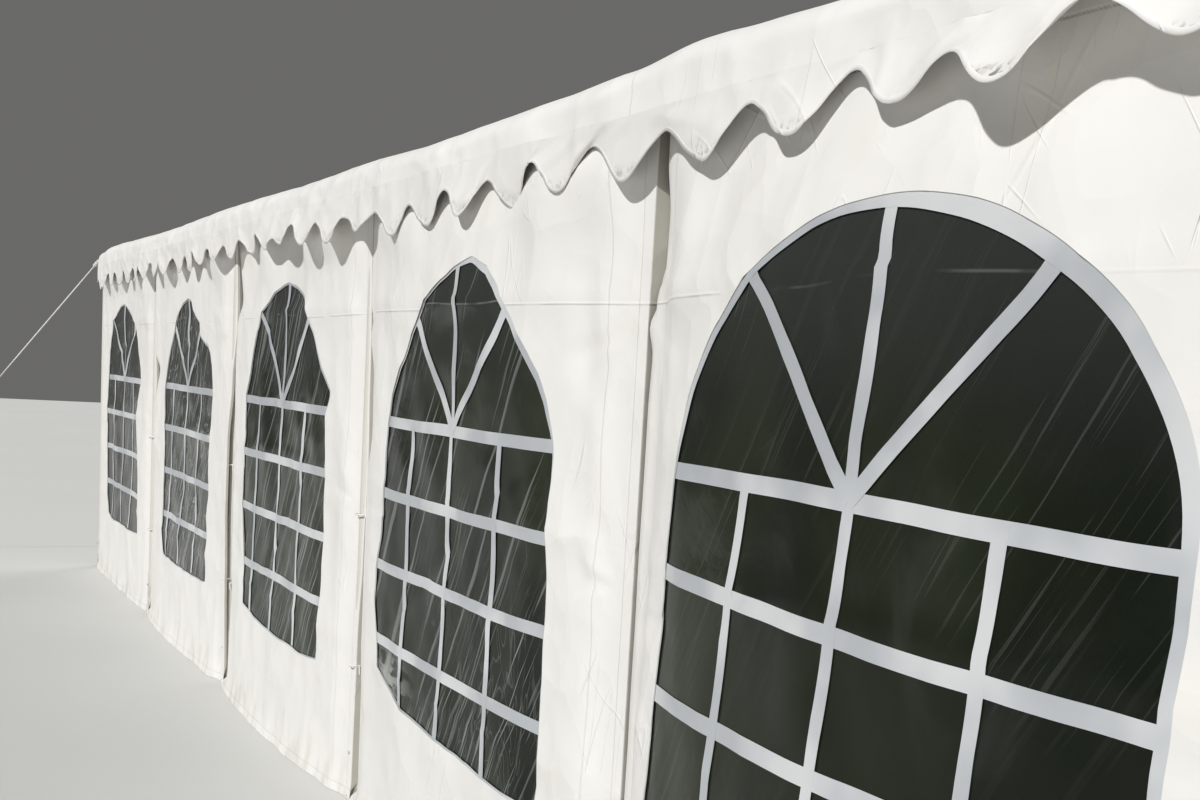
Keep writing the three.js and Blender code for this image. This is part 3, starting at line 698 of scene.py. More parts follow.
def nominal_edge(angle):
    """How far the printed window's outline lies from its middle in a direction."""
    dx, dz = math.cos(angle), math.sin(angle)
    reach = WINDOW_HALF / abs(dx) if abs(dx) > 1e-9 else 1e9
    if dz < 0:
        reach = min(reach, (WINDOW_SILL - WINDOW_MIDDLE) / dz)
    if WINDOW_MIDDLE + min(reach, 9) * dz > WINDOW_SPRING:
        rise, drop = WINDOW_TOP - WINDOW_SPRING, WINDOW_MIDDLE - WINDOW_SPRING
        a = (dx / WINDOW_HALF) ** 2 + (dz / rise) ** 2
        b = 2 * drop * dz / rise ** 2
        c = (drop / rise) ** 2 - 1
        reach = (-b + math.sqrt(b * b - 4 * a * c)) / (2 * a)
    return reach


def measured_edges():
    """Each far front opening as (angle, reach) pairs from its middle, in order of angle."""
    edges = []
    for outline in OPENINGS:
        spokes = [(x, z - WINDOW_MIDDLE) for x, z in metres(outline, CM, CM)]
        polar = sorted((math.atan2(z, x), math.hypot(x, z)) for x, z in spokes)
        first, last = polar[0], polar[-1]
        edges.append([(last[0] - 2 * math.pi, last[1])] + polar + [(first[0] + 2 * math.pi, first[1])])
    return edges


EDGES = measured_edges()


def window_edge(angle, side, bay):
    """The opening's outline in a direction from its middle: a place along the bay and a height."""
    angle = math.atan2(math.sin(angle), math.cos(angle))
    dx, dz = math.cos(angle), math.sin(angle)
    reach = nominal_edge(angle)
    pulled = side == "front" and bay < NEAR_BAY
    if pulled:
        for (a0, r0), (a1, r1) in zip(EDGES[bay], EDGES[bay][1:]):
            if a0 <= angle <= a1:
                reach = r0 * r1 * math.sin(a1 - a0) / (r0 * math.sin(angle - a0) + r1 * math.sin(a1 - angle))
    x, z = reach * dx, WINDOW_MIDDLE + reach * dz
    uneven = (0.005 if pulled else 0.003) * abs(wrinkle(x, z, panel_seed(side, bay) + 60, 7.0))
    return x - uneven * dx * 1.6, z - uneven * dz


def panel_edge(angle):
    """The panel's outline in a direction from the window's middle."""
    dx, dz = math.cos(angle), math.sin(angle)
    limits = []
    if abs(dx) > 1e-9:
        limits.append((PANEL_NEAR if dx > 0 else PANEL_FAR) / dx)
    if abs(dz) > 1e-9:
        limits.append(((PANEL_TOP if dz > 0 else 0.0) - WINDOW_MIDDLE) / dz)
    reach = min(limits)
    return reach * dx, WINDOW_MIDDLE + reach * dz


def directions(count):
    """Angles right round, with one at each corner of the panel and of the window."""
    corners = [math.atan2(z - WINDOW_MIDDLE, x) for x in (PANEL_FAR, PANEL_NEAR) for z in (0.0, PANEL_TOP)]
    corners += [math.atan2(z - WINDOW_MIDDLE, x) for x in (-WINDOW_HALF, WINDOW_HALF)
                for z in (WINDOW_SILL, WINDOW_SPRING)]
    angles = [-math.pi + 2 * math.pi * k / count for k in range(count)]
    return sorted([a for a in angles if all(abs(a - c) > 2.4 / count for c in corners)] + corners)


def side_panel(side, number, bay, cloth):
    """The cloth of a bay, as a ring of quads from the window's edge out to its hems."""
    centre, seed = bay_middle(bay), panel_seed(side, bay)
    count, rows = PANEL_MESH[side]
    around = directions(count)
    points, flat = [], []
    for angle in around:
        xi, zi = window_edge(angle, side, bay)
        xo, zo = panel_edge(angle)
        for j in range(rows + 1):
            t = j / rows
            x, z = xi + (xo - xi) * t, zi + (zo - zi) * t
            free = smooth(-x, 0.78, -PANEL_FAR)
            drawn = free * ((HEM_DRAWN if bay else FIRST_DRAWN) + DRAWN_WAVE * wrinkle(z, 4, seed + 41, 5.0))
            out = PANEL_OUT + panel_swell(side, bay, x, z)
            points.append(facing(side, centre + x + drawn, out, max(0.0, z)))
            flat.append((x, z))
        clear = smooth(z, 0.03, 0.09) * (1 - smooth(z, 1.98, 2.06)) if xo > PANEL_NEAR - 1e-6 else 0.0
        turned_in = HEM_EASE + clear * (TURNED_IN[bay] if side == "front" else BACK_TURNED_IN)
        for j in range(1, HEM_ROWS + 1):
            t = j / HEM_ROWS
            ending = HEM_EASE * t if clear else 0.0
            points.append(facing(side, centre + x + drawn + ending, out - turned_in * t, max(0.0, z)))
            flat.append((x + turned_in * t, z))
    faces = [(b, a, d, c) for a, b, c, d in grid_faces(len(around), rows + HEM_ROWS, closed=True)]
    piece = cloth_piece(f"{side}_wall_{number}_cloth", points, faces, flat, cloth)
    own(piece, "sheeting", f"{side}_wall_{number}")
    return piece


# ---------------------------------------------------------------- Windows
# A sheet of clear PVC film is sewn behind each opening. Silver-grey strips are printed on it in the pattern
# of a window: four rails, three stiles, a fan of three in the arch, and a border all round.

FILM_BACK, FILM_THICK, FILM_LAP, STRIP_THICK = 0.0055, 0.0005, 0.032, 0.0003
RAILS = (1.315, 1.094, 0.866, 0.632)
STILES = (-0.343, 0.0, 0.343)
FAN_ANGLES = (43, 90, 137)
RAIL_WIDE, STILE_WIDE, FAN_WIDE, BORDER_LAP, STRIP_BEND = 0.033, 0.029, 0.032, 0.012, 0.0035
# How far each kind of strip lies off the film, so that none of them meet in the same plane.
RAIL_LIFT, STILE_LIFT, FAN_LIFT, BORDER_LIFT = 0.0022, 0.0026, 0.0030, 0.0034
RAIL_STEPS, STILE_STEPS, FAN_STEPS, BORDER_STEPS = 84, 60, 36, 200

film = Finish("window film", IOR=1.45, Specular_IOR_Level=0.18, Alpha=0.94)
spot = film.place()
high = film.along(spot, 2)
painted_view_mottle = film.noise(film.turned(spot, (1, 1, 0.5)), 1.6, 3.0)
haze = film.noise(spot, 3.0, 5.0, warp=1.0)
slant = film.turned(spot, (1.0, 1.0, 1.0), (0.0, math.radians(60), 0.0))
scratches_and_glints = film.noise(film.turned(slant, (1.1, 1.0, 40.0)), 1.0, 2.0)
fine = film.noise(film.turned(slant, (2.4, 1.0, 150.0)), 1.0, 2.0)
patches = film.noise(spot, 1.3, 2.0).ramp(0.44, 0.60)
far_bays = 1 - film.along(spot, 0).ramp(2.7, 3.3)
farthest = 1 - film.along(spot, 0).ramp(-1.4, -0.6)
# Painted reflection: the film's dark green-black stands in for the dark ground and the inside seen in and
# through it, and it is painted lighter towards the top and in the farthest windows.
film_colour_with_painted_light = film.blend(painted_view_mottle.ramp(0.35, 0.65), (0.007, 0.010, 0.006, 1), (0.020, 0.026, 0.013, 1))
film_colour_with_painted_light = film.blend(high.ramp(1.3, 1.75) * 0.8, film_colour_with_painted_light, (0.036, 0.038, 0.036, 1))
film_colour_with_painted_light = film.blend(farthest * 0.7, film_colour_with_painted_light, (0.050, 0.053, 0.047, 1))
film_colour_with_painted_light = film.blend(haze.ramp(0.60, 0.85) * 0.2, film_colour_with_painted_light, (0.13, 0.14, 0.13, 1))
# Painted highlights: light streaks where the rippled and creased film catches the light, strongest in the far
# windows.
broad_glints = scratches_and_glints.ramp(0.60, 0.68) * (0.01 + 0.26 * far_bays)
fine_glints = fine.ramp(0.62, 0.69) * (0.06 + 0.40 * far_bays + 0.25 * farthest)
crease_glints = film.noise(film.turned(spot, (1.0, 1.0, 0.3)), 11.0, 2.0, warp=1.2).near(0.5, 0.016)
fine_glints = fine_glints.larger(crease_glints * (0.12 * far_bays + 0.60 * farthest))
film_colour_with_painted_light = film.blend(broad_glints.larger(fine_glints * patches), film_colour_with_painted_light, (0.50, 0.52, 0.50, 1))
# Painted highlight along the film's fold.
fold_highlight = (high + 0.05 * film.noise(spot, 2.0, 1.0)).near(1.690, 0.004)
fold_highlight = fold_highlight * film.noise(spot, 6.0, 2.0).ramp(0.42, 0.6)
film_colour_with_painted_light = film.blend(fold_highlight * (0.16 + 0.14 * far_bays), film_colour_with_painted_light, (0.45, 0.46, 0.44, 1))
in_scuff = film.along(spot, 0).near(1.52, 0.30) * (1 - high.ramp(0.50, 0.66))
scuff = film.noise(film.turned(spot, (1, 1, 3.2)), 9.0, 5.0).ramp(0.46, 0.56)
film_colour_with_painted_light = film.blend(in_scuff * scuff * 0.75, film_colour_with_painted_light, (0.52, 0.53, 0.50, 1))
film_skin = film.bump(scratches_and_glints, 0.003, 0.20)
film_skin = film.bump(haze, 0.012, 0.25, under=film_skin)
film_material = film.feed(Base_Color=film_colour_with_painted_light, Roughness=0.10 + 0.22 * haze, Normal=film_skin)

strip = Finish("window strip", Metallic=0.2, IOR=1.45)
spot = strip.place()
patches = strip.noise(spot, 3.0, 3.0)
fine = strip.noise(spot, 16.0, 3.0)
# Painted reflection: the lighter patches on the silver-grey print stand in for its sheen.
strip_colour_with_painted_sheen = strip.blend(patches.ramp(0.40, 0.62), (0.50, 0.525, 0.55, 1), (0.72, 0.735, 0.745, 1))
strip_material = strip.feed(Base_Color=strip_colour_with_painted_sheen, Roughness=0.30 + 0.2 * patches,
                            Normal=strip.bump(fine, 0.002, 0.15))

# Straight creases in the film of some front windows: bay, one end, the other end and how far they stand out.
FILM_FOLDS = metres((
    (3, -55, 65, 70, 138, 8), (2, -36, 43, 42, 109, 9), (2, -26, 43, 30, 86, 6), (2, -52, 140, -12, 176, 7),
    (1, 30, 55, 62, 130, 9), (1, -20, 145, 30, 166, 7), (0, -55, 140, 45, 162, 9), (0, 0, 155, 55, 166, 6),
    (4, -30, 172, 50, 166, 6)), 1, CM, CM, CM, CM, MM)
FOLD_HALF = 0.032
# How far the film ripples in each front bay, and in the back ones.
FILM_SLACK, BACK_FILM_SLACK = (0.0085, 0.0095, 0.0070, 0.0050, 0.0035), 0.006


def folded(x, z, x0, z0, x1, z1, height):
    """The height of a straight crease between two places, at another place near it."""
    dx, dz = x1 - x0, z1 - z0
    size = math.hypot(dx, dz)
    along = ((x - x0) * dx + (z - z0) * dz) / size
    off = abs((x - x0) * dz - (z - z0) * dx) / size
    ends = smooth(along, -0.02, 0.10) * smooth(size - along, -0.02, 0.10)
    return height * ends * math.exp(-off / FOLD_HALF)


def film_out(side, bay, x, z):
    """How far out the film lies: behind the cloth, with ripples and creases of its own inside its seams."""
    seed = panel_seed(side, bay)
    inside = max(0.0, 1 - (x / WINDOW_HALF) ** 2) * max(0.0, min(1.0, (z - WINDOW_SILL) / 0.12))
    inside *= max(0.0, min(1.0, (arch_height(x) - z) / 0.10))
    size = FILM_SLACK[bay] if side == "front" else BACK_FILM_SLACK
    ripple = size * wrinkle(x + 0.45 * z, 0.5 * z, seed + 70, 4.5)
    ripple += 0.5 * size * wrinkle(x - 0.3 * z, z, seed + 71, 8.5)
    if side == "front":
        ripple -= sum(folded(x, z, *fold[1:]) for fold in FILM_FOLDS if fold[0] == bay)
    return PANEL_OUT - FILM_BACK + panel_swell(side, bay, x, z) + inside * (ripple - 0.5 * size)


def arch_height(x, half=WINDOW_HALF, top=WINDOW_TOP):
    """The height of the arch above a place along the bay."""
    return WINDOW_SPRING + (top - WINDOW_SPRING) * math.sqrt(max(0.0, 1 - (x / half) ** 2))


def window_film(side, number, bay):
    """The film of a bay, lapped behind the cloth all round."""
    half, top, sill = WINDOW_HALF + FILM_LAP, WINDOW_TOP + FILM_LAP, WINDOW_SILL - FILM_LAP

    def place(s, t):
        x = half * math.sin(math.pi * (s - 0.5))
        z = sill + (arch_height(x, half, top) - sill) * t
        return facing(side, bay_middle(bay) + x, film_out(side, bay, x, z), z), (x, z)

    steps = 60 if side == "front" else 32
    piece = sheet_grid(f"{side}_window_{number}_film", steps, steps, place, film_material, FILM_THICK)
    own(piece, "film", f"{side}_window_film")
    return piece


def border_reach(side, bay, x, z):
    """How far the printed border shows inside the opening's edge."""
    arch = smooth(z, WINDOW_SPRING - 0.1, WINDOW_SPRING + 0.2)
    if side == "back":
        return 0.010 + 0.023 * arch
    if bay == NEAR_BAY:
        return 0.004 + 0.012 * arch + 0.018 * max(arch * smooth(x, -0.2, 0.3), smooth(x, 0.5, 0.62))
    return 0.006 + (0.020 if bay == NEAR_BAY - 1 else 0.010) * arch * smooth(x, -0.1, 0.3)


def window_strips(side, number, bay):
    """All the strips of a window as one mesh. Each is a narrow grid laid on the film."""
    seed = panel_seed(side, bay)
    points, faces, flat = [], [], []

    def steps(low, high, front_count):
        count = front_count if side == "front" else front_count // 2
        return [low + (high - low) * i / count for i in range(count + 1)]

    def lay(path, edges, lift, rows=2):
        """A strip along a path of (x, z) places, with its two edges at each as distances from the path."""
        first = len(points)
        for k, ((x, z), (inner, outer)) in enumerate(zip(path, edges)):
            (x0, z0), (x1, z1) = path[max(k - 1, 0)], path[min(k + 1, len(path) - 1)]
            size = math.hypot(x1 - x0, z1 - z0)
            for j in range(rows + 1):
                off = inner + (outer - inner) * j / rows
                px, pz = x - (z1 - z0) / size * off, z + (x1 - x0) / size * off
                points.append(facing(side, bay_middle(bay) + px, film_out(side, bay, px, pz) + lift, pz))
                flat.append((px, pz))
        faces.extend(tuple(corner + first for corner in face) for face in grid_faces(len(path) - 1, rows))

    def even(path, width, lift):
        lay(path, [(-width / 2, width / 2)] * len(path), lift)

    def bend(at, k, kind):
        return STRIP_BEND * wrinkle(at, k * 3.0 + kind, seed + 50, 4.2)

    def sink(x, k):
        """The near window's two upper rails fall towards the near end."""
        if side == "back" or bay < NEAR_BAY:
            return 0.0
        return (-0.014 * smooth(x, -0.1, 0.66), 0.006 - 0.024 * x, 0.003, 0.0)[k]

    for k, z in enumerate(RAILS):
        end = WINDOW_HALF + (0.016 if side == "front" and bay < NEAR_BAY else -0.004)
        path = [(x, z + bend(x, k, 0) + sink(x, k)) for x in steps(-end, end, RAIL_STEPS)]
        even(path, RAIL_WIDE, RAIL_LIFT)
    for k, x in enumerate(STILES):
        path = [(x + bend(z, k, 7), z) for z in steps(WINDOW_SILL + 0.004, RAILS[0], STILE_STEPS)]
        even(path, STILE_WIDE, STILE_LIFT)
    for k, angle in enumerate(FAN_ANGLES):
        dx, dz = math.cos(math.radians(angle)), math.sin(math.radians(angle))
        reach = 1 / math.hypot(dx / WINDOW_HALF, dz / (WINDOW_TOP - WINDOW_SPRING)) - 0.01
        path = [(d * dx + 1.6 * bend(d, k, 12) * dz, WINDOW_SPRING + d * dz)
                for d in steps(0.0, reach, FAN_STEPS)]
        even(path, FAN_WIDE, FAN_LIFT)
    border = [window_edge(angle, side, bay) for angle in steps(-math.pi / 2, 1.5 * math.pi, BORDER_STEPS)]
    lay(border, [(-BORDER_LAP, border_reach(side, bay, x, z)) for x, z in border], BORDER_LIFT)
    piece = cloth_piece(f"{side}_window_{number}_strips", points, faces, flat, strip_material, STRIP_THICK)
    own(piece, "film", f"{side}_window_film")
    return piece


CROSS_SEAMS = (0.03, 2.02)
UPRIGHT_SEAMS = (-0.86, 0.875, 0.985)
side_cloth = pvc_cloth("panel cloth", UPRIGHT_SEAMS, CROSS_SEAMS, foot_dirt=True, turned_from=PANEL_NEAR)
window_area = 2 * WINDOW_HALF * (WINDOW_SPRING - WINDOW_SILL)
window_area += math.pi / 2 * WINDOW_HALF * (WINDOW_TOP - WINDOW_SPRING)
for side in ("front", "back"):
    for bay in range(5):
        number = 5 - bay if side == "back" else bay + 1
        cloth = side_panel(side, number, bay, side_cloth)
        glazing = window_film(side, number, bay)
        strips = window_strips(side, number, bay)

# ---------------------------------------------------------------- Panel ties
# Short white cords, drawn tight through the eyelets of the two hems, hold the panels to each leg.

TIE_HEIGHTS, TIE_RADIUS, TIE_OUT = (0.47, 1.00), 0.0026, 0.006
TIE_HALF_WIDE, TIE_HALF_DEEP, TIE_RISE = 0.031, 0.0345, 0.012
TIE_STEPS, TIE_FROM, TIE_TAIL = 48, 0.3, Vector((0.002, 0, -0.010))
BRAID_PITCH = 0.03

cord = Finish("white cord", Roughness=0.75, Sheen_Weight=0.3)
spot = cord.place()
weave = cord.bump(cord.noise(spot, 260.0, 2.0), 0.0006, 0.6)
cord_dirt = cord.noise(spot, 9.0, 4.0).ramp(0.4, 0.7) * 0.6
cord_colour = cord.blend(cord_dirt, (0.80, 0.79, 0.75, 1), (0.60, 0.57, 0.49, 1))
cord_material = cord.feed(Base_Color=cord_colour, Normal=weave)


def swept(name, path, radius, material, lobes=0, sides=9):
    """A closed rod or, with lobes, a braided rope along a path of points."""
    points, flat = [], []
    across = Vector((0.31, 0.27, 0.91))
    run = 0.0
    for k, place in enumerate(path):
        ahead_of = (path[min(k + 1, len(path) - 1)] - path[max(k - 1, 0)]).normalized()
        across = (across - ahead_of * across.dot(ahead_of)).normalized()
        beside = ahead_of.cross(across)
        run += (place - path[k - 1]).length if k else 0.0
        for j in range(sides):
            angle = 2 * math.pi * j / sides
            size = radius
            if lobes:
                turned = 2 * math.pi * run / BRAID_PITCH
                size *= 0.92 + 0.08 * math.cos(lobes * angle - turned) * math.cos(lobes * angle + turned)
            points.append(place + (across * math.cos(angle) + beside * math.sin(angle)) * size)
            flat.append((run, j / sides * 2 * math.pi * radius))
    last = (len(path) - 1) * sides
    faces = [(k + j, k + (j + 1) % sides, k + (j + 1) % sides + sides, k + j + sides)
             for k in range(0, last, sides) for j in range(sides)]
    faces += [tuple(reversed(range(sides))), tuple(range(last, last + sides))]
    return cloth_piece(name, points, faces, flat, material, thickness=0)


def tie_path(side, x, z, seed):
    """Out through the far panel's hem, over the seam, in through the near one's, and round the leg."""
    path = []
    for k in range(TIE_STEPS + 1):
        angle = 2 * math.pi * k / TIE_STEPS + TIE_FROM
        out = PANEL_OUT + TIE_OUT + TIE_HALF_DEEP * (math.sin(angle) - 1)
        lift = TIE_RISE * math.sin(angle * 0.5 + seed)
        path.append(facing(side, x + TIE_HALF_WIDE * math.cos(angle), out, z + lift))
    return path + [path[-1] + TIE_TAIL * k for k in (1, 2, 3)]


for side in ("front", "back"):
    for line in range(1, 5):
        number = 6 - line if side == "back" else line + 1
        for k, z in enumerate(TIE_HEIGHTS[:1] if line == 4 else TIE_HEIGHTS):
            path = tie_path(side, frame_x(line), z + 0.02 * wrinkle(line, k, 3), k + line)
            own(swept(f"{side}_tie_{number}_{k + 1}", path, TIE_RADIUS, cord_material, sides=7), "rope")

# ---------------------------------------------------------------- Frame tubes
# Round steel tube, 50 mm across, painted white. A ridge tube and two eave tubes run the whole length, and
# a shorter one crosses each end. Each is closed with a pressed cap.

TUBE_R, TUBE_HALF = 0.025, 5.0297
EAVE_Z, RIDGE_Z, EAVE_OUT = 2.12, 3.02, 2.5
SLEEVE_R, SLEEVE_REACH, SOCKET = 0.030, 0.080, 0.130
SPUN_EDGE = math.radians(40)

paint = Finish("white tube paint", IOR=1.5)
spot = paint.place()
worn = paint.noise(spot, 7.0, 6.0).ramp(0.60, 0.72)
dusty = paint.noise(paint.turned(spot, (1, 1, 0.3)), 3.0, 4.0)
# The paint's grey-beige base is darker than clean white paint: partly greyed paint, partly painted shade for
# the legs seen in the gaps between the panels. The darker blotches are dust, wear and mud.
paint_colour_with_painted_shade = paint.blend(dusty.ramp(0.4, 0.75) * 0.5, (0.62, 0.605, 0.555, 1), (0.50, 0.48, 0.42, 1))
paint_colour_with_painted_shade = paint.blend(worn * 0.25, paint_colour_with_painted_shade, (0.42, 0.40, 0.37, 1))
low_mud = 1 - paint.along(spot, 2).ramp(0.0, 0.28)
mud = low_mud * paint.noise(spot, 24.0, 5.0).ramp(0.35, 0.65)
paint_colour_with_painted_shade = paint.blend(mud * 0.6, paint_colour_with_painted_shade, (0.20, 0.175, 0.12, 1))
tube_paint = paint.feed(Base_Color=paint_colour_with_painted_shade, Roughness=0.32 + 0.25 * dusty,
                        Normal=paint.bump(paint.noise(spot, 90.0, 2.0), 0.0006, 0.3))


def spun(name, profile, material, steps=32):
    """A closed round piece from (radius, height) places, spun about the upright line through the origin."""
    mesh = bpy.data.meshes.new(name)
    mesh.from_pydata([(r, 0, z) for r, z in profile], [(k, k + 1) for k in range(len(profile) - 1)], [])
    mesh.materials.append(material)
    piece = bpy.data.objects.new(name, mesh)
    bpy.context.scene.collection.objects.link(piece)
    pick(piece)
    bpy.ops.object.mode_set(mode="EDIT")
    bpy.ops.mesh.select_all(action="SELECT")
    bpy.ops.mesh.spin(steps=steps, angle=math.tau, center=(0, 0, 0), axis=(0, 0, 1))
    bpy.ops.mesh.select_all(action="SELECT")
    bpy.ops.mesh.remove_doubles(threshold=WELD)
    bpy.ops.mesh.normals_make_consistent(inside=False)
    bpy.ops.object.mode_set(mode="OBJECT")
    bpy.ops.object.shade_smooth_by_angle(angle=SPUN_EDGE)
    return piece


def placed(piece, where, axis="Z", turn=0.0):
    """Turns a piece's mesh about an axis through the origin, then moves it. The object itself stays put."""
    pick(piece)
    bpy.ops.object.mode_set(mode="EDIT")
    bpy.ops.mesh.select_all(action="SELECT")
    if turn:
        bpy.ops.transform.rotate(value=-turn, orient_axis=axis, center_override=(0, 0, 0))
    bpy.ops.transform.translate(value=where)
    bpy.ops.object.mode_set(mode="OBJECT")
    return piece


def copied(piece, name, where, turn=0.0):
    """A copy with a mesh of its own, turned about the upright through the origin and then moved."""
    pick(piece)
    bpy.ops.object.duplicate(linked=False)
    made = bpy.context.active_object
    made.name = name
    return placed(made, where, "Z", turn)


def joined(name, *pieces):
    """Makes one piece of several and names it."""
    pick(*pieces)
    bpy.ops.object.join()
    pieces[0].name = name
    return pieces[0]


def round_bar(radius, low, high, edge=0.002):
    """Profile of a bar or sleeve between two heights, with its rims eased."""
    return [(0, low), (radius - edge, low), (radius - edge * 0.3, low + edge * 0.3), (radius, low + edge),
            (radius, high - edge), (radius - edge * 0.3, high - edge * 0.3), (radius - edge, high), (0, high)]


def fitting(radius, low, high, where, axis="Z", turn=0.0, name="fitting"):
    """A bar or sleeve, turned about an axis from the upright and moved to its place."""
    return placed(spun(name, round_bar(radius, low, high), tube_paint), where, axis, turn)


for name, y, z in (("ridge_tube", 0, RIDGE_Z), ("front_eave_tube", -EAVE_OUT, EAVE_Z),
                   ("back_eave_tube", EAVE_OUT, EAVE_Z)):
    own(fitting(TUBE_R, -TUBE_HALF, TUBE_HALF, (0, y, z), "Y", QUARTER, name + "_steel"), "tube", name)

# ---------------------------------------------------------------- Rafters
# Two tubes slope from the ridge to the eaves at each frame line. Pressed sleeves, welded up into corner
# fittings, join them to the ridge and eave tubes and take the legs. Each leg socket is locked by a small
# screw.

PITCH_ANGLE = math.atan((RIDGE_Z - EAVE_Z) / EAVE_OUT)
RAFTER = EAVE_OUT / math.cos(PITCH_ANGLE)
END_CLEAR = 0.0003
WASHER_R, WASHER_TOP, WASHER_SUNK = 0.0085, 0.0012, 0.004
HEAD_R, HEAD_HIGH, HEAD_MIDDLE, HEAD_EDGE = 0.0062, 0.0062, Vector((0, 0, 0.0032)), 0.0007
SCREW_DOWN = 0.09


def eased(piece, width, limit="ANGLE"):
    """Rounds a piece's sharp edges by a small width."""
    pick(piece)
    edges = piece.modifiers.new("edges", "BEVEL")
    edges.width, edges.segments, edges.limit_method = width, 2, limit
    bpy.ops.object.modifier_apply(modifier=edges.name)
    return piece


def screw(name, where, axis, turn):
    """A hexagon screw head on a washer, lying on a socket's surface."""
    rim = [(0, -WASHER_SUNK), (WASHER_R, -WASHER_SUNK), (WASHER_R, WASHER_TOP), (0, WASHER_TOP)]
    washer = spun(name, rim, tube_paint, steps=24)
    bpy.ops.mesh.primitive_cylinder_add(vertices=6, radius=HEAD_R, depth=HEAD_HIGH, location=HEAD_MIDDLE)
    head = bpy.context.active_object
    head.data.materials.append(tube_paint)
    bpy.ops.object.transform_apply(location=True)
    return placed(joined(name, washer, eased(head, HEAD_EDGE)), where, axis, turn)


def rafter_pair(number, end):
    """A frame line's two rafters. At an end the sleeves stop short at the wall, and sockets face inwards."""
    low = END_CLEAR - SLEEVE_R if end < 0 else -SLEEVE_REACH
    high = SLEEVE_R - END_CLEAR if end > 0 else SLEEVE_REACH
    parts = [fitting(SLEEVE_R, low, high, (0, 0, RIDGE_Z), "Y", QUARTER)]
    for side in (-1, 1):
        y, lean = side * EAVE_OUT, side * (QUARTER - PITCH_ANGLE)
        corner = (0, y, EAVE_Z)
        parts.append(fitting(TUBE_R, 0.0, RAFTER, corner, "X", lean))
        parts.append(fitting(SLEEVE_R, 0.0, SOCKET, corner, "X", lean))
        parts.append(fitting(SLEEVE_R, RAFTER - SOCKET, RAFTER, corner, "X", lean))
        parts.append(fitting(SLEEVE_R, low, high, corner, "Y", QUARTER))
        parts.append(fitting(SLEEVE_R, -SOCKET, 0.0, corner))
        parts.append(screw("leg_screw", (0, y - side * SLEEVE_R, EAVE_Z - SCREW_DOWN), "X", side * QUARTER))
        if end:
            parts.append(fitting(SLEEVE_R, 0.0, SOCKET, corner, "X", side * QUARTER))
    pair = placed(joined(f"rafter_pair_{number}_steel", *parts), (frame_x(number - 1), 0, 0))
    own(pair, "tube", f"rafter_pair_{number}")


for number, end in enumerate((-1, 0, 0, 0, 0, 1)):
    rafter_pair(number + 1, end)

# ---------------------------------------------------------------- End tubes
# A tube crosses each end at eave height, with a welded tee over each of the two posts beside the door.

POST_Y = 1.0
END_TUBE_HALF = EAVE_OUT - SLEEVE_R - 0.0053
for end, x in (("far", -HALF_LENGTH), ("near", HALF_LENGTH)):
    parts = [fitting(TUBE_R, -END_TUBE_HALF, END_TUBE_HALF, (x, 0, EAVE_Z), "X", QUARTER)]
    for y in (-POST_Y, POST_Y):
        parts.append(fitting(SLEEVE_R, y - SLEEVE_REACH, y + SLEEVE_REACH, (x, 0, EAVE_Z), "X", QUARTER))
        parts.append(fitting(SLEEVE_R, -SOCKET, 0.0, (x, y, EAVE_Z)))
    own(joined(f"{end}_end_tube_steel", *parts), "tube", f"{end}_end_tube")

# ---------------------------------------------------------------- Legs and door posts
# Each leg stands in a short sleeve welded to a steel foot plate. The plate has two holes on its inner side
# for ground pins and has gone dark with soil. Corner plates are set inwards, clear of the end walls.

LEG_TOP = 2.0847
PLATE = Vector((0.110, 0.100, 0.006))
PLATE_OUTER, PLATE_EDGE = -0.0285, 0.0009
PIN_HOLE_R, PIN_HOLE_IN = 0.007, 0.016
FOOT_SCREW = (0, -0.028, 0.16)
# The leg from its foot up: the weld on the plate, the foot sleeve and the tube in it.
LEG_PROFILE = [(0, 0.0055), (0.0352, 0.0055), (0.0345, 0.0078), (0.0318, 0.0108), (0.028, 0.0125),
               (0.028, 0.2385), (0.0274, 0.240), (0.0254, 0.240), (0.025, 0.2392), (0.025, LEG_TOP - 0.002),
               (0.0235, LEG_TOP), (0, LEG_TOP)]

steel = Finish("foot plate steel", Metallic=0.85)
spot = steel.place()
rust = steel.noise(spot, 30.0, 5.0).ramp(0.50, 0.62)
earth = steel.noise(spot, 11.0, 5.0).ramp(0.40, 0.60)
plate_colour = steel.blend(rust, (0.16, 0.16, 0.155, 1), (0.13, 0.065, 0.032, 1))
plate_colour = steel.blend(earth * 0.7, plate_colour, (0.085, 0.072, 0.048, 1))
plate_steel = steel.feed(Base_Color=plate_colour, Roughness=0.45 + 0.35 * rust, Metallic=0.9 - 0.8 * earth,
                         Normal=steel.bump(steel.noise(spot, 160.0, 3.0), 0.0005, 0.5))


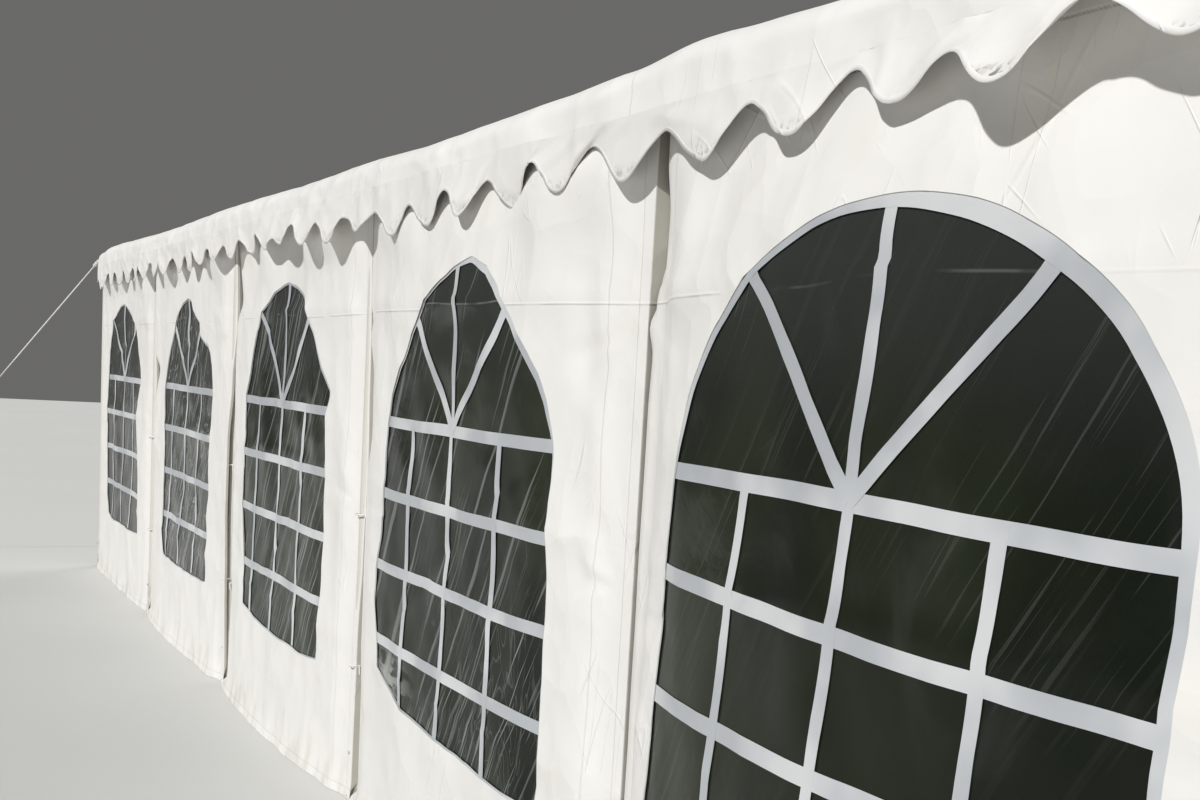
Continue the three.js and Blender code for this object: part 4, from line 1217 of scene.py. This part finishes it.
def leg(name, end):
    """A leg on its foot, its axis on the upright through the origin and its inner side towards +Y."""
    middle = Vector((-end * (PLATE.x / 2 + PLATE_OUTER), PLATE_OUTER + PLATE.y / 2, PLATE.z / 2))
    bpy.ops.mesh.primitive_cube_add(size=1)
    plate = bpy.context.active_object
    plate.data.materials.append(plate_steel)
    bpy.ops.object.mode_set(mode="EDIT")
    bpy.ops.mesh.select_all(action="SELECT")
    bpy.ops.transform.resize(value=PLATE)
    bpy.ops.transform.translate(value=middle)
    bpy.ops.object.mode_set(mode="OBJECT")
    for hand in (-1, 1):
        across = hand * (PLATE.x / 2 - PIN_HOLE_IN)
        where = middle + Vector((across, PLATE.y / 2 - PIN_HOLE_IN, 0))
        bpy.ops.mesh.primitive_cylinder_add(vertices=20, radius=PIN_HOLE_R, depth=5 * PLATE.z, location=where)
        drill = bpy.context.active_object
        hole = plate.modifiers.new("hole", "BOOLEAN")
        hole.object = drill
        pick(plate)
        bpy.ops.object.modifier_apply(modifier=hole.name)
        bpy.data.objects.remove(drill)
    post = spun(name, LEG_PROFILE, tube_paint)
    return joined(name, post, eased(plate, PLATE_EDGE), screw("foot_screw", FOOT_SCREW, "X", QUARTER))


legs = {end: leg(f"leg_pattern_{end + 2}", end) for end in (-1, 0, 1)}
for side, turn, hand in (("front", 0.0, 1), ("back", math.pi, -1)):
    for line, end in enumerate((-1, 0, 0, 0, 0, 1)):
        name = f"{side}_leg_{line + 1}"
        where = (hand * frame_x(line), -hand * EAVE_OUT, 0)
        own(copied(legs[end], name + "_steel", where, turn), "tube", name)
for end, x, turn in (("far", -HALF_LENGTH, -QUARTER), ("near", HALF_LENGTH, QUARTER)):
    for side, y in (("front", -POST_Y), ("back", POST_Y)):
        name = f"{end}_door_post_{side}"
        own(copied(legs[0], name + "_steel", (x, y, 0), turn), "tube", name)
for pattern in legs.values():
    bpy.data.objects.remove(pattern)

# ---------------------------------------------------------------- End walls and doors
# Each end is closed by a sheet on each side and a wider one between the two posts, which is the door. They
# hang from the end tube like the side panels, with the same hems and the same creases from the pack.

END_OUT, DOOR_HALF, WALL_IN, WALL_OUT = 5.0333, 0.992, 1.008, 2.492
END_BELLY, END_BELLY_WAVE, END_RIPPLES, END_FOOT_KICK = 0.028, 0.014, (0.0022, 0.0011), 0.018
END_FOLDS, END_CREASES = (0.006, 0.0035), (0.006, 0.0035, 0.0055)
END_COLUMN_WIDE, END_ROWS = 0.032, 66

end_cloth = pvc_cloth("end wall cloth", (-2.46, -1.04, 1.04, 2.46), CROSS_SEAMS, foot_dirt=True)
door_cloth = pvc_cloth("door cloth", (-0.96, -0.012, 0.012, 0.96), CROSS_SEAMS, foot_dirt=True)


def end_swell(x, z, left, right, seed):
    """How far an end sheet stands out from flat, held at both its sides and at its top."""
    slack = math.sin(math.pi * (x - left) / (right - left)) * (1 - 0.85 * smooth(z, 1.75, 2.12))
    out = slack * (END_BELLY + END_BELLY_WAVE * wrinkle(0, z, seed, 0.9))
    folds = END_FOLDS[0] * wrinkle(x, 0.3 * z, seed + 5, 3.6) + END_FOLDS[1] * wrinkle(x, 0.4 * z, seed, 7.5)
    out += (0.3 + 0.7 * slack) * folds
    for k, (height, deep) in enumerate(zip(PACK_CREASES, END_CREASES)):
        away = z - height - 0.014 * wrinkle(x, k, seed + 2, 1.8)
        out += deep * math.exp(-abs(away) / 0.04) * (0.4 + 0.6 * slack)
    out += END_RIPPLES[0] * wrinkle(x, z, seed + 14, 7.0)
    out += END_RIPPLES[1] * wrinkle(x + z, z - x, seed + 15, 16.0)
    out += max(0.0, 1 - z / FOOT_HIGH) ** 2 * END_FOOT_KICK * abs(wrinkle(x, 0, seed + 21, 2.0))
    return max(0.0008, 0.003 + out)


def end_sheet(node, end, left, right, seed, cloth):
    """One sheet of an end, between two places across it."""
    def place(s, t):
        x, z = left + (right - left) * s, PANEL_TOP * t
        return facing(end, x, END_OUT + end_swell(x, z, left, right, seed), z), (x, z)

    piece = sheet_grid(node + "_cloth", round((right - left) / END_COLUMN_WIDE), END_ROWS, place, cloth)
    own(piece, "sheeting", node)


for end, seed, left, right in (("far", 71, "back", "front"), ("near", 83, "front", "back")):
    end_sheet(f"{end}_wall_{left}", end, -WALL_OUT, -WALL_IN, seed, end_cloth)
    end_sheet(f"{end}_door", end, -DOOR_HALF, DOOR_HALF, seed + 3, door_cloth)
    end_sheet(f"{end}_wall_{right}", end, WALL_IN, WALL_OUT, seed + 7, end_cloth)

# ---------------------------------------------------------------- Gables
# A triangle of the roof's cloth closes each end above the walls. It is sewn to the cover's edge and carries
# the same scalloped band, which meets the side bands at the corners.

GABLE_OUT, GABLE_HALF, GABLE_CLEAR = 5.0378, 2.594, 0.0022
GABLE_SLACK, GABLE_FOLDS = 0.010, (0.012, 0.0035, 0.0012)
GABLE_COLUMNS, GABLE_ROWS = 220, 30


def roof_height(out):
    """Height of the cover's outer face at a distance from the middle."""
    if out <= SLOPE_END:
        return RIDGE_TOP - SLOPE * out
    turned = math.asin(min(1.0, (out - SLOPE_END) / ROLL_R + math.sin(TIP)))
    return SLOPE_LOW - ROLL_R * (math.cos(TIP) - math.cos(turned))


def gable_out(x, z, seed):
    """How far out the gable lies: tight along the roof's edge, loose above the band."""
    held = smooth(roof_height(abs(x)) - z, 0.0, 0.16)
    folds = GABLE_SLACK + GABLE_FOLDS[0] * wrinkle(x, z * 0.8, seed + 31, 1.1)
    folds += GABLE_FOLDS[1] * wrinkle(x + 0.4 * z, z, seed + 32, 4.5)
    folds += GABLE_FOLDS[2] * wrinkle(x, z, seed + 33, 14.0)
    low = 1 - smooth(z, LIP_Z, LIP_Z + 0.25)
    return GABLE_OUT + held * (folds * (1 - low) + low * band_folds(x, z, seed) - 0.006)


gable_cloth = pvc_cloth("gable cloth", seams_u=(0.0,))
gable_area = GABLE_HALF * (RIDGE_TOP + roof_height(GABLE_HALF) - 2 * LIP_Z)
for end, seed in (("far", 91), ("near", 97)):
    def gable_place(s, t):
        x = GABLE_HALF * math.sin(QUARTER * (2 * s - 1))
        z = LIP_Z + (roof_height(abs(x)) - GABLE_CLEAR - LIP_Z) * t
        return drawn_in(facing(end, x, gable_out(x, z, seed), z)), (x, z)

    piece = sheet_grid(f"{end}_gable_cloth", GABLE_COLUMNS, GABLE_ROWS, gable_place, gable_cloth)
    own(piece, "sheeting", f"{end}_gable")
    valance(f"{end}_gable_band", end, GABLE_HALF, lambda x: gable_out(x, LIP_Z, seed),
            plain_hem, seed, columns=400, rows=10, node=f"{end}_gable")

# ---------------------------------------------------------------- Guy ropes
# A braided rope is hitched to the corner of the cover, drawn straight and taut, looped round its stake and
# hitched back on itself. There is one at each corner.

ROPE_R, STAKE_R = 0.0045, 0.008
ROPE_TOP = Vector((5.0512, -2.5955, 2.085))
STAKE_SPOT = Vector((5.9, -4.0, 0.0))
STAKE_LOOP_Z, LOOP_R = 0.070, STAKE_R + ROPE_R * 1.1
HITCH_R, HITCH_TURNS, HITCH_STEP, HITCH_SIDES = 0.0094, 4, -0.0086, 14
ROPE_STEP = 0.0052
# Along the straight run: where the eye round the corner lies, where the top hitch starts, how far short of
# the stake the run ends and how far back from there the lower hitch starts.
TOP_EYE, TOP_HITCH, RUN_SHORT, LOW_HITCH = 0.003, 0.044, 0.03, 0.012
EYE_STEPS, EYE_DEEP = 8, 0.006
LOOP_STEPS, LOOP_FROM, LOOP_OPEN, LOOP_START_LOW, LOOP_DROP = 26, 0.9, 1.2, 0.002, 0.010
CORNERS = [(f"{side}_{end}", sx, sy) for end, sx in (("far", -1), ("near", 1))
           for side, sy in (("front", 1), ("back", -1))]


def rope_path():
    """The front near rope: a hitch at the top, the straight run, a turn round the stake and a hitch."""
    loop = STAKE_SPOT + Vector((0, 0, STAKE_LOOP_Z))
    down = (loop - ROPE_TOP).normalized()
    level = down.cross(Vector((0, 0, 1))).normalized()
    rise = level.cross(down)

    def hitch(start, first):
        turns = []
        for k in range(HITCH_TURNS * HITCH_SIDES + 1):
            angle = first + 2 * math.pi * k / HITCH_SIDES
            around = (rise * math.cos(angle) + level * math.sin(angle)) * HITCH_R
            turns.append(start + down * (HITCH_STEP * k / HITCH_SIDES) + around)
        return turns

    top_eye, run_end = ROPE_TOP + down * TOP_EYE, loop - down * RUN_SHORT
    path = hitch(ROPE_TOP + down * TOP_HITCH, 0.0)
    for k in range(1, EYE_STEPS):
        angle = math.pi * k / EYE_STEPS
        path.append(top_eye + rise * (HITCH_R * math.cos(angle)) - down * (EYE_DEEP * math.sin(angle)))
    steps = int((run_end - top_eye).length / ROPE_STEP)
    path += [top_eye + (run_end - top_eye) * (k / steps) for k in range(steps + 1)]
    first = math.atan2(-down.y, -down.x)
    for k in range(LOOP_STEPS + 1):
        angle = first + LOOP_FROM + (2 * math.pi - LOOP_OPEN) * k / LOOP_STEPS
        low = -LOOP_START_LOW - LOOP_DROP * k / LOOP_STEPS
        path.append(loop + Vector((LOOP_R * math.cos(angle), LOOP_R * math.sin(angle), low)))
    return path + hitch(run_end - down * LOW_HITCH, math.pi)


laid = Finish("braided rope", Roughness=0.8, Sheen_Weight=0.25)
spot = laid.place()
rope_dirt = laid.noise(spot, 4.0, 5.0).ramp(0.4, 0.7) * 0.5 + (1 - laid.along(spot, 2).ramp(0.0, 0.3)) * 0.4
rope_colour = laid.blend(rope_dirt, (0.80, 0.79, 0.74, 1), (0.46, 0.42, 0.33, 1))
rope_material = laid.feed(Base_Color=rope_colour, Normal=laid.bump(laid.noise(spot, 300.0, 2.0), 0.0006, 0.6))
near_front = rope_path()
for corner, sx, sy in CORNERS:
    path = [Vector((p.x * sx, p.y * sy, p.z)) for p in near_front]
    pulled = drawn_in(path[0]) - path[0]
    path = [p + pulled * ((p.z - STAKE_LOOP_Z) / (ROPE_TOP.z - STAKE_LOOP_Z)) for p in path]
    name = f"guy_rope_{corner}"
    own(swept(name + "_braided", path, ROPE_R, rope_material, lobes=3), "rope", name)

# ---------------------------------------------------------------- Stakes
# Zinc plated steel pins with a round head, driven into the ground. The zinc has dulled and is smeared with
# soil.

iron = Finish("stake zinc")
spot = iron.place()
scale = iron.noise(spot, 60.0, 5.0).ramp(0.42, 0.62)
stake_colour = iron.blend(scale, (0.46, 0.47, 0.48, 1), (0.30, 0.30, 0.29, 1))
stake_earth = (1 - iron.along(spot, 2).ramp(0.0, 0.05)) * iron.noise(spot, 90.0, 3.0).ramp(0.3, 0.6)
stake_colour = iron.blend(stake_earth, stake_colour, (0.10, 0.085, 0.055, 1))
stake_iron = iron.feed(Base_Color=stake_colour, Metallic=0.8 - 0.6 * scale, Roughness=0.42 + 0.3 * scale,
                       Normal=iron.bump(iron.noise(spot, 220.0, 4.0), 0.0008, 0.6))
PIN_PROFILE = [(0, 0), (STAKE_R, 0), (STAKE_R, 0.112), (0.0088, 0.1155), (0.0115, 0.1178), (0.0148, 0.1186),
               (0.0158, 0.1202), (0.016, 0.1228), (0.0152, 0.1258), (0.0128, 0.1283), (0.0085, 0.1296),
               (0, 0.130)]
for corner, sx, sy in CORNERS:
    stake = spun(f"stake_{corner}_zinc", PIN_PROFILE, stake_iron)
    own(placed(stake, (sx * STAKE_SPOT.x, sy * STAKE_SPOT.y, 0)), "stake", f"stake_{corner}")

# ---------------------------------------------------------------- Studio
# A plain pale floor under soft light from the front right, with weaker light from behind.

bpy.ops.object.select_all(action="DESELECT")
bpy.ops.mesh.primitive_plane_add(size=80, location=(0, 0, -0.0015))
floor = bpy.context.active_object
floor.name = "studio_floor"
ground = Finish("studio floor", Roughness=0.9)
shade = ground.noise(ground.place(), 0.4, 2.0)
floor_colour = ground.blend(shade, (0.62, 0.62, 0.60, 1), (0.66, 0.66, 0.64, 1))
floor.data.materials.append(ground.feed(Base_Color=floor_colour))

world = bpy.data.worlds.new("studio")
bpy.context.scene.world = world
world.use_nodes = True
sky = world.node_tree.nodes["Background"].inputs
sky["Color"].default_value = (0.70, 0.695, 0.68, 1)
sky["Strength"].default_value = 0.205
bpy.context.scene.view_settings.view_transform = "Standard"


def studio_sun(name, towards, strength, spread):
    """A light from far off, shining along a direction and spread over some degrees."""
    light = bpy.data.lights.new(name, "SUN")
    light.energy = strength
    light.angle = math.radians(spread)
    lamp = bpy.data.objects.new(name, light)
    lamp.rotation_euler = Vector(towards).to_track_quat("-Z", "Y").to_euler()
    bpy.context.scene.collection.objects.link(lamp)


studio_sun("key", (-0.55, 1.0, -0.9), 3.1, 2.0)
studio_sun("back_fill", (0.6, -1.0, -1.0), 0.9, 30)
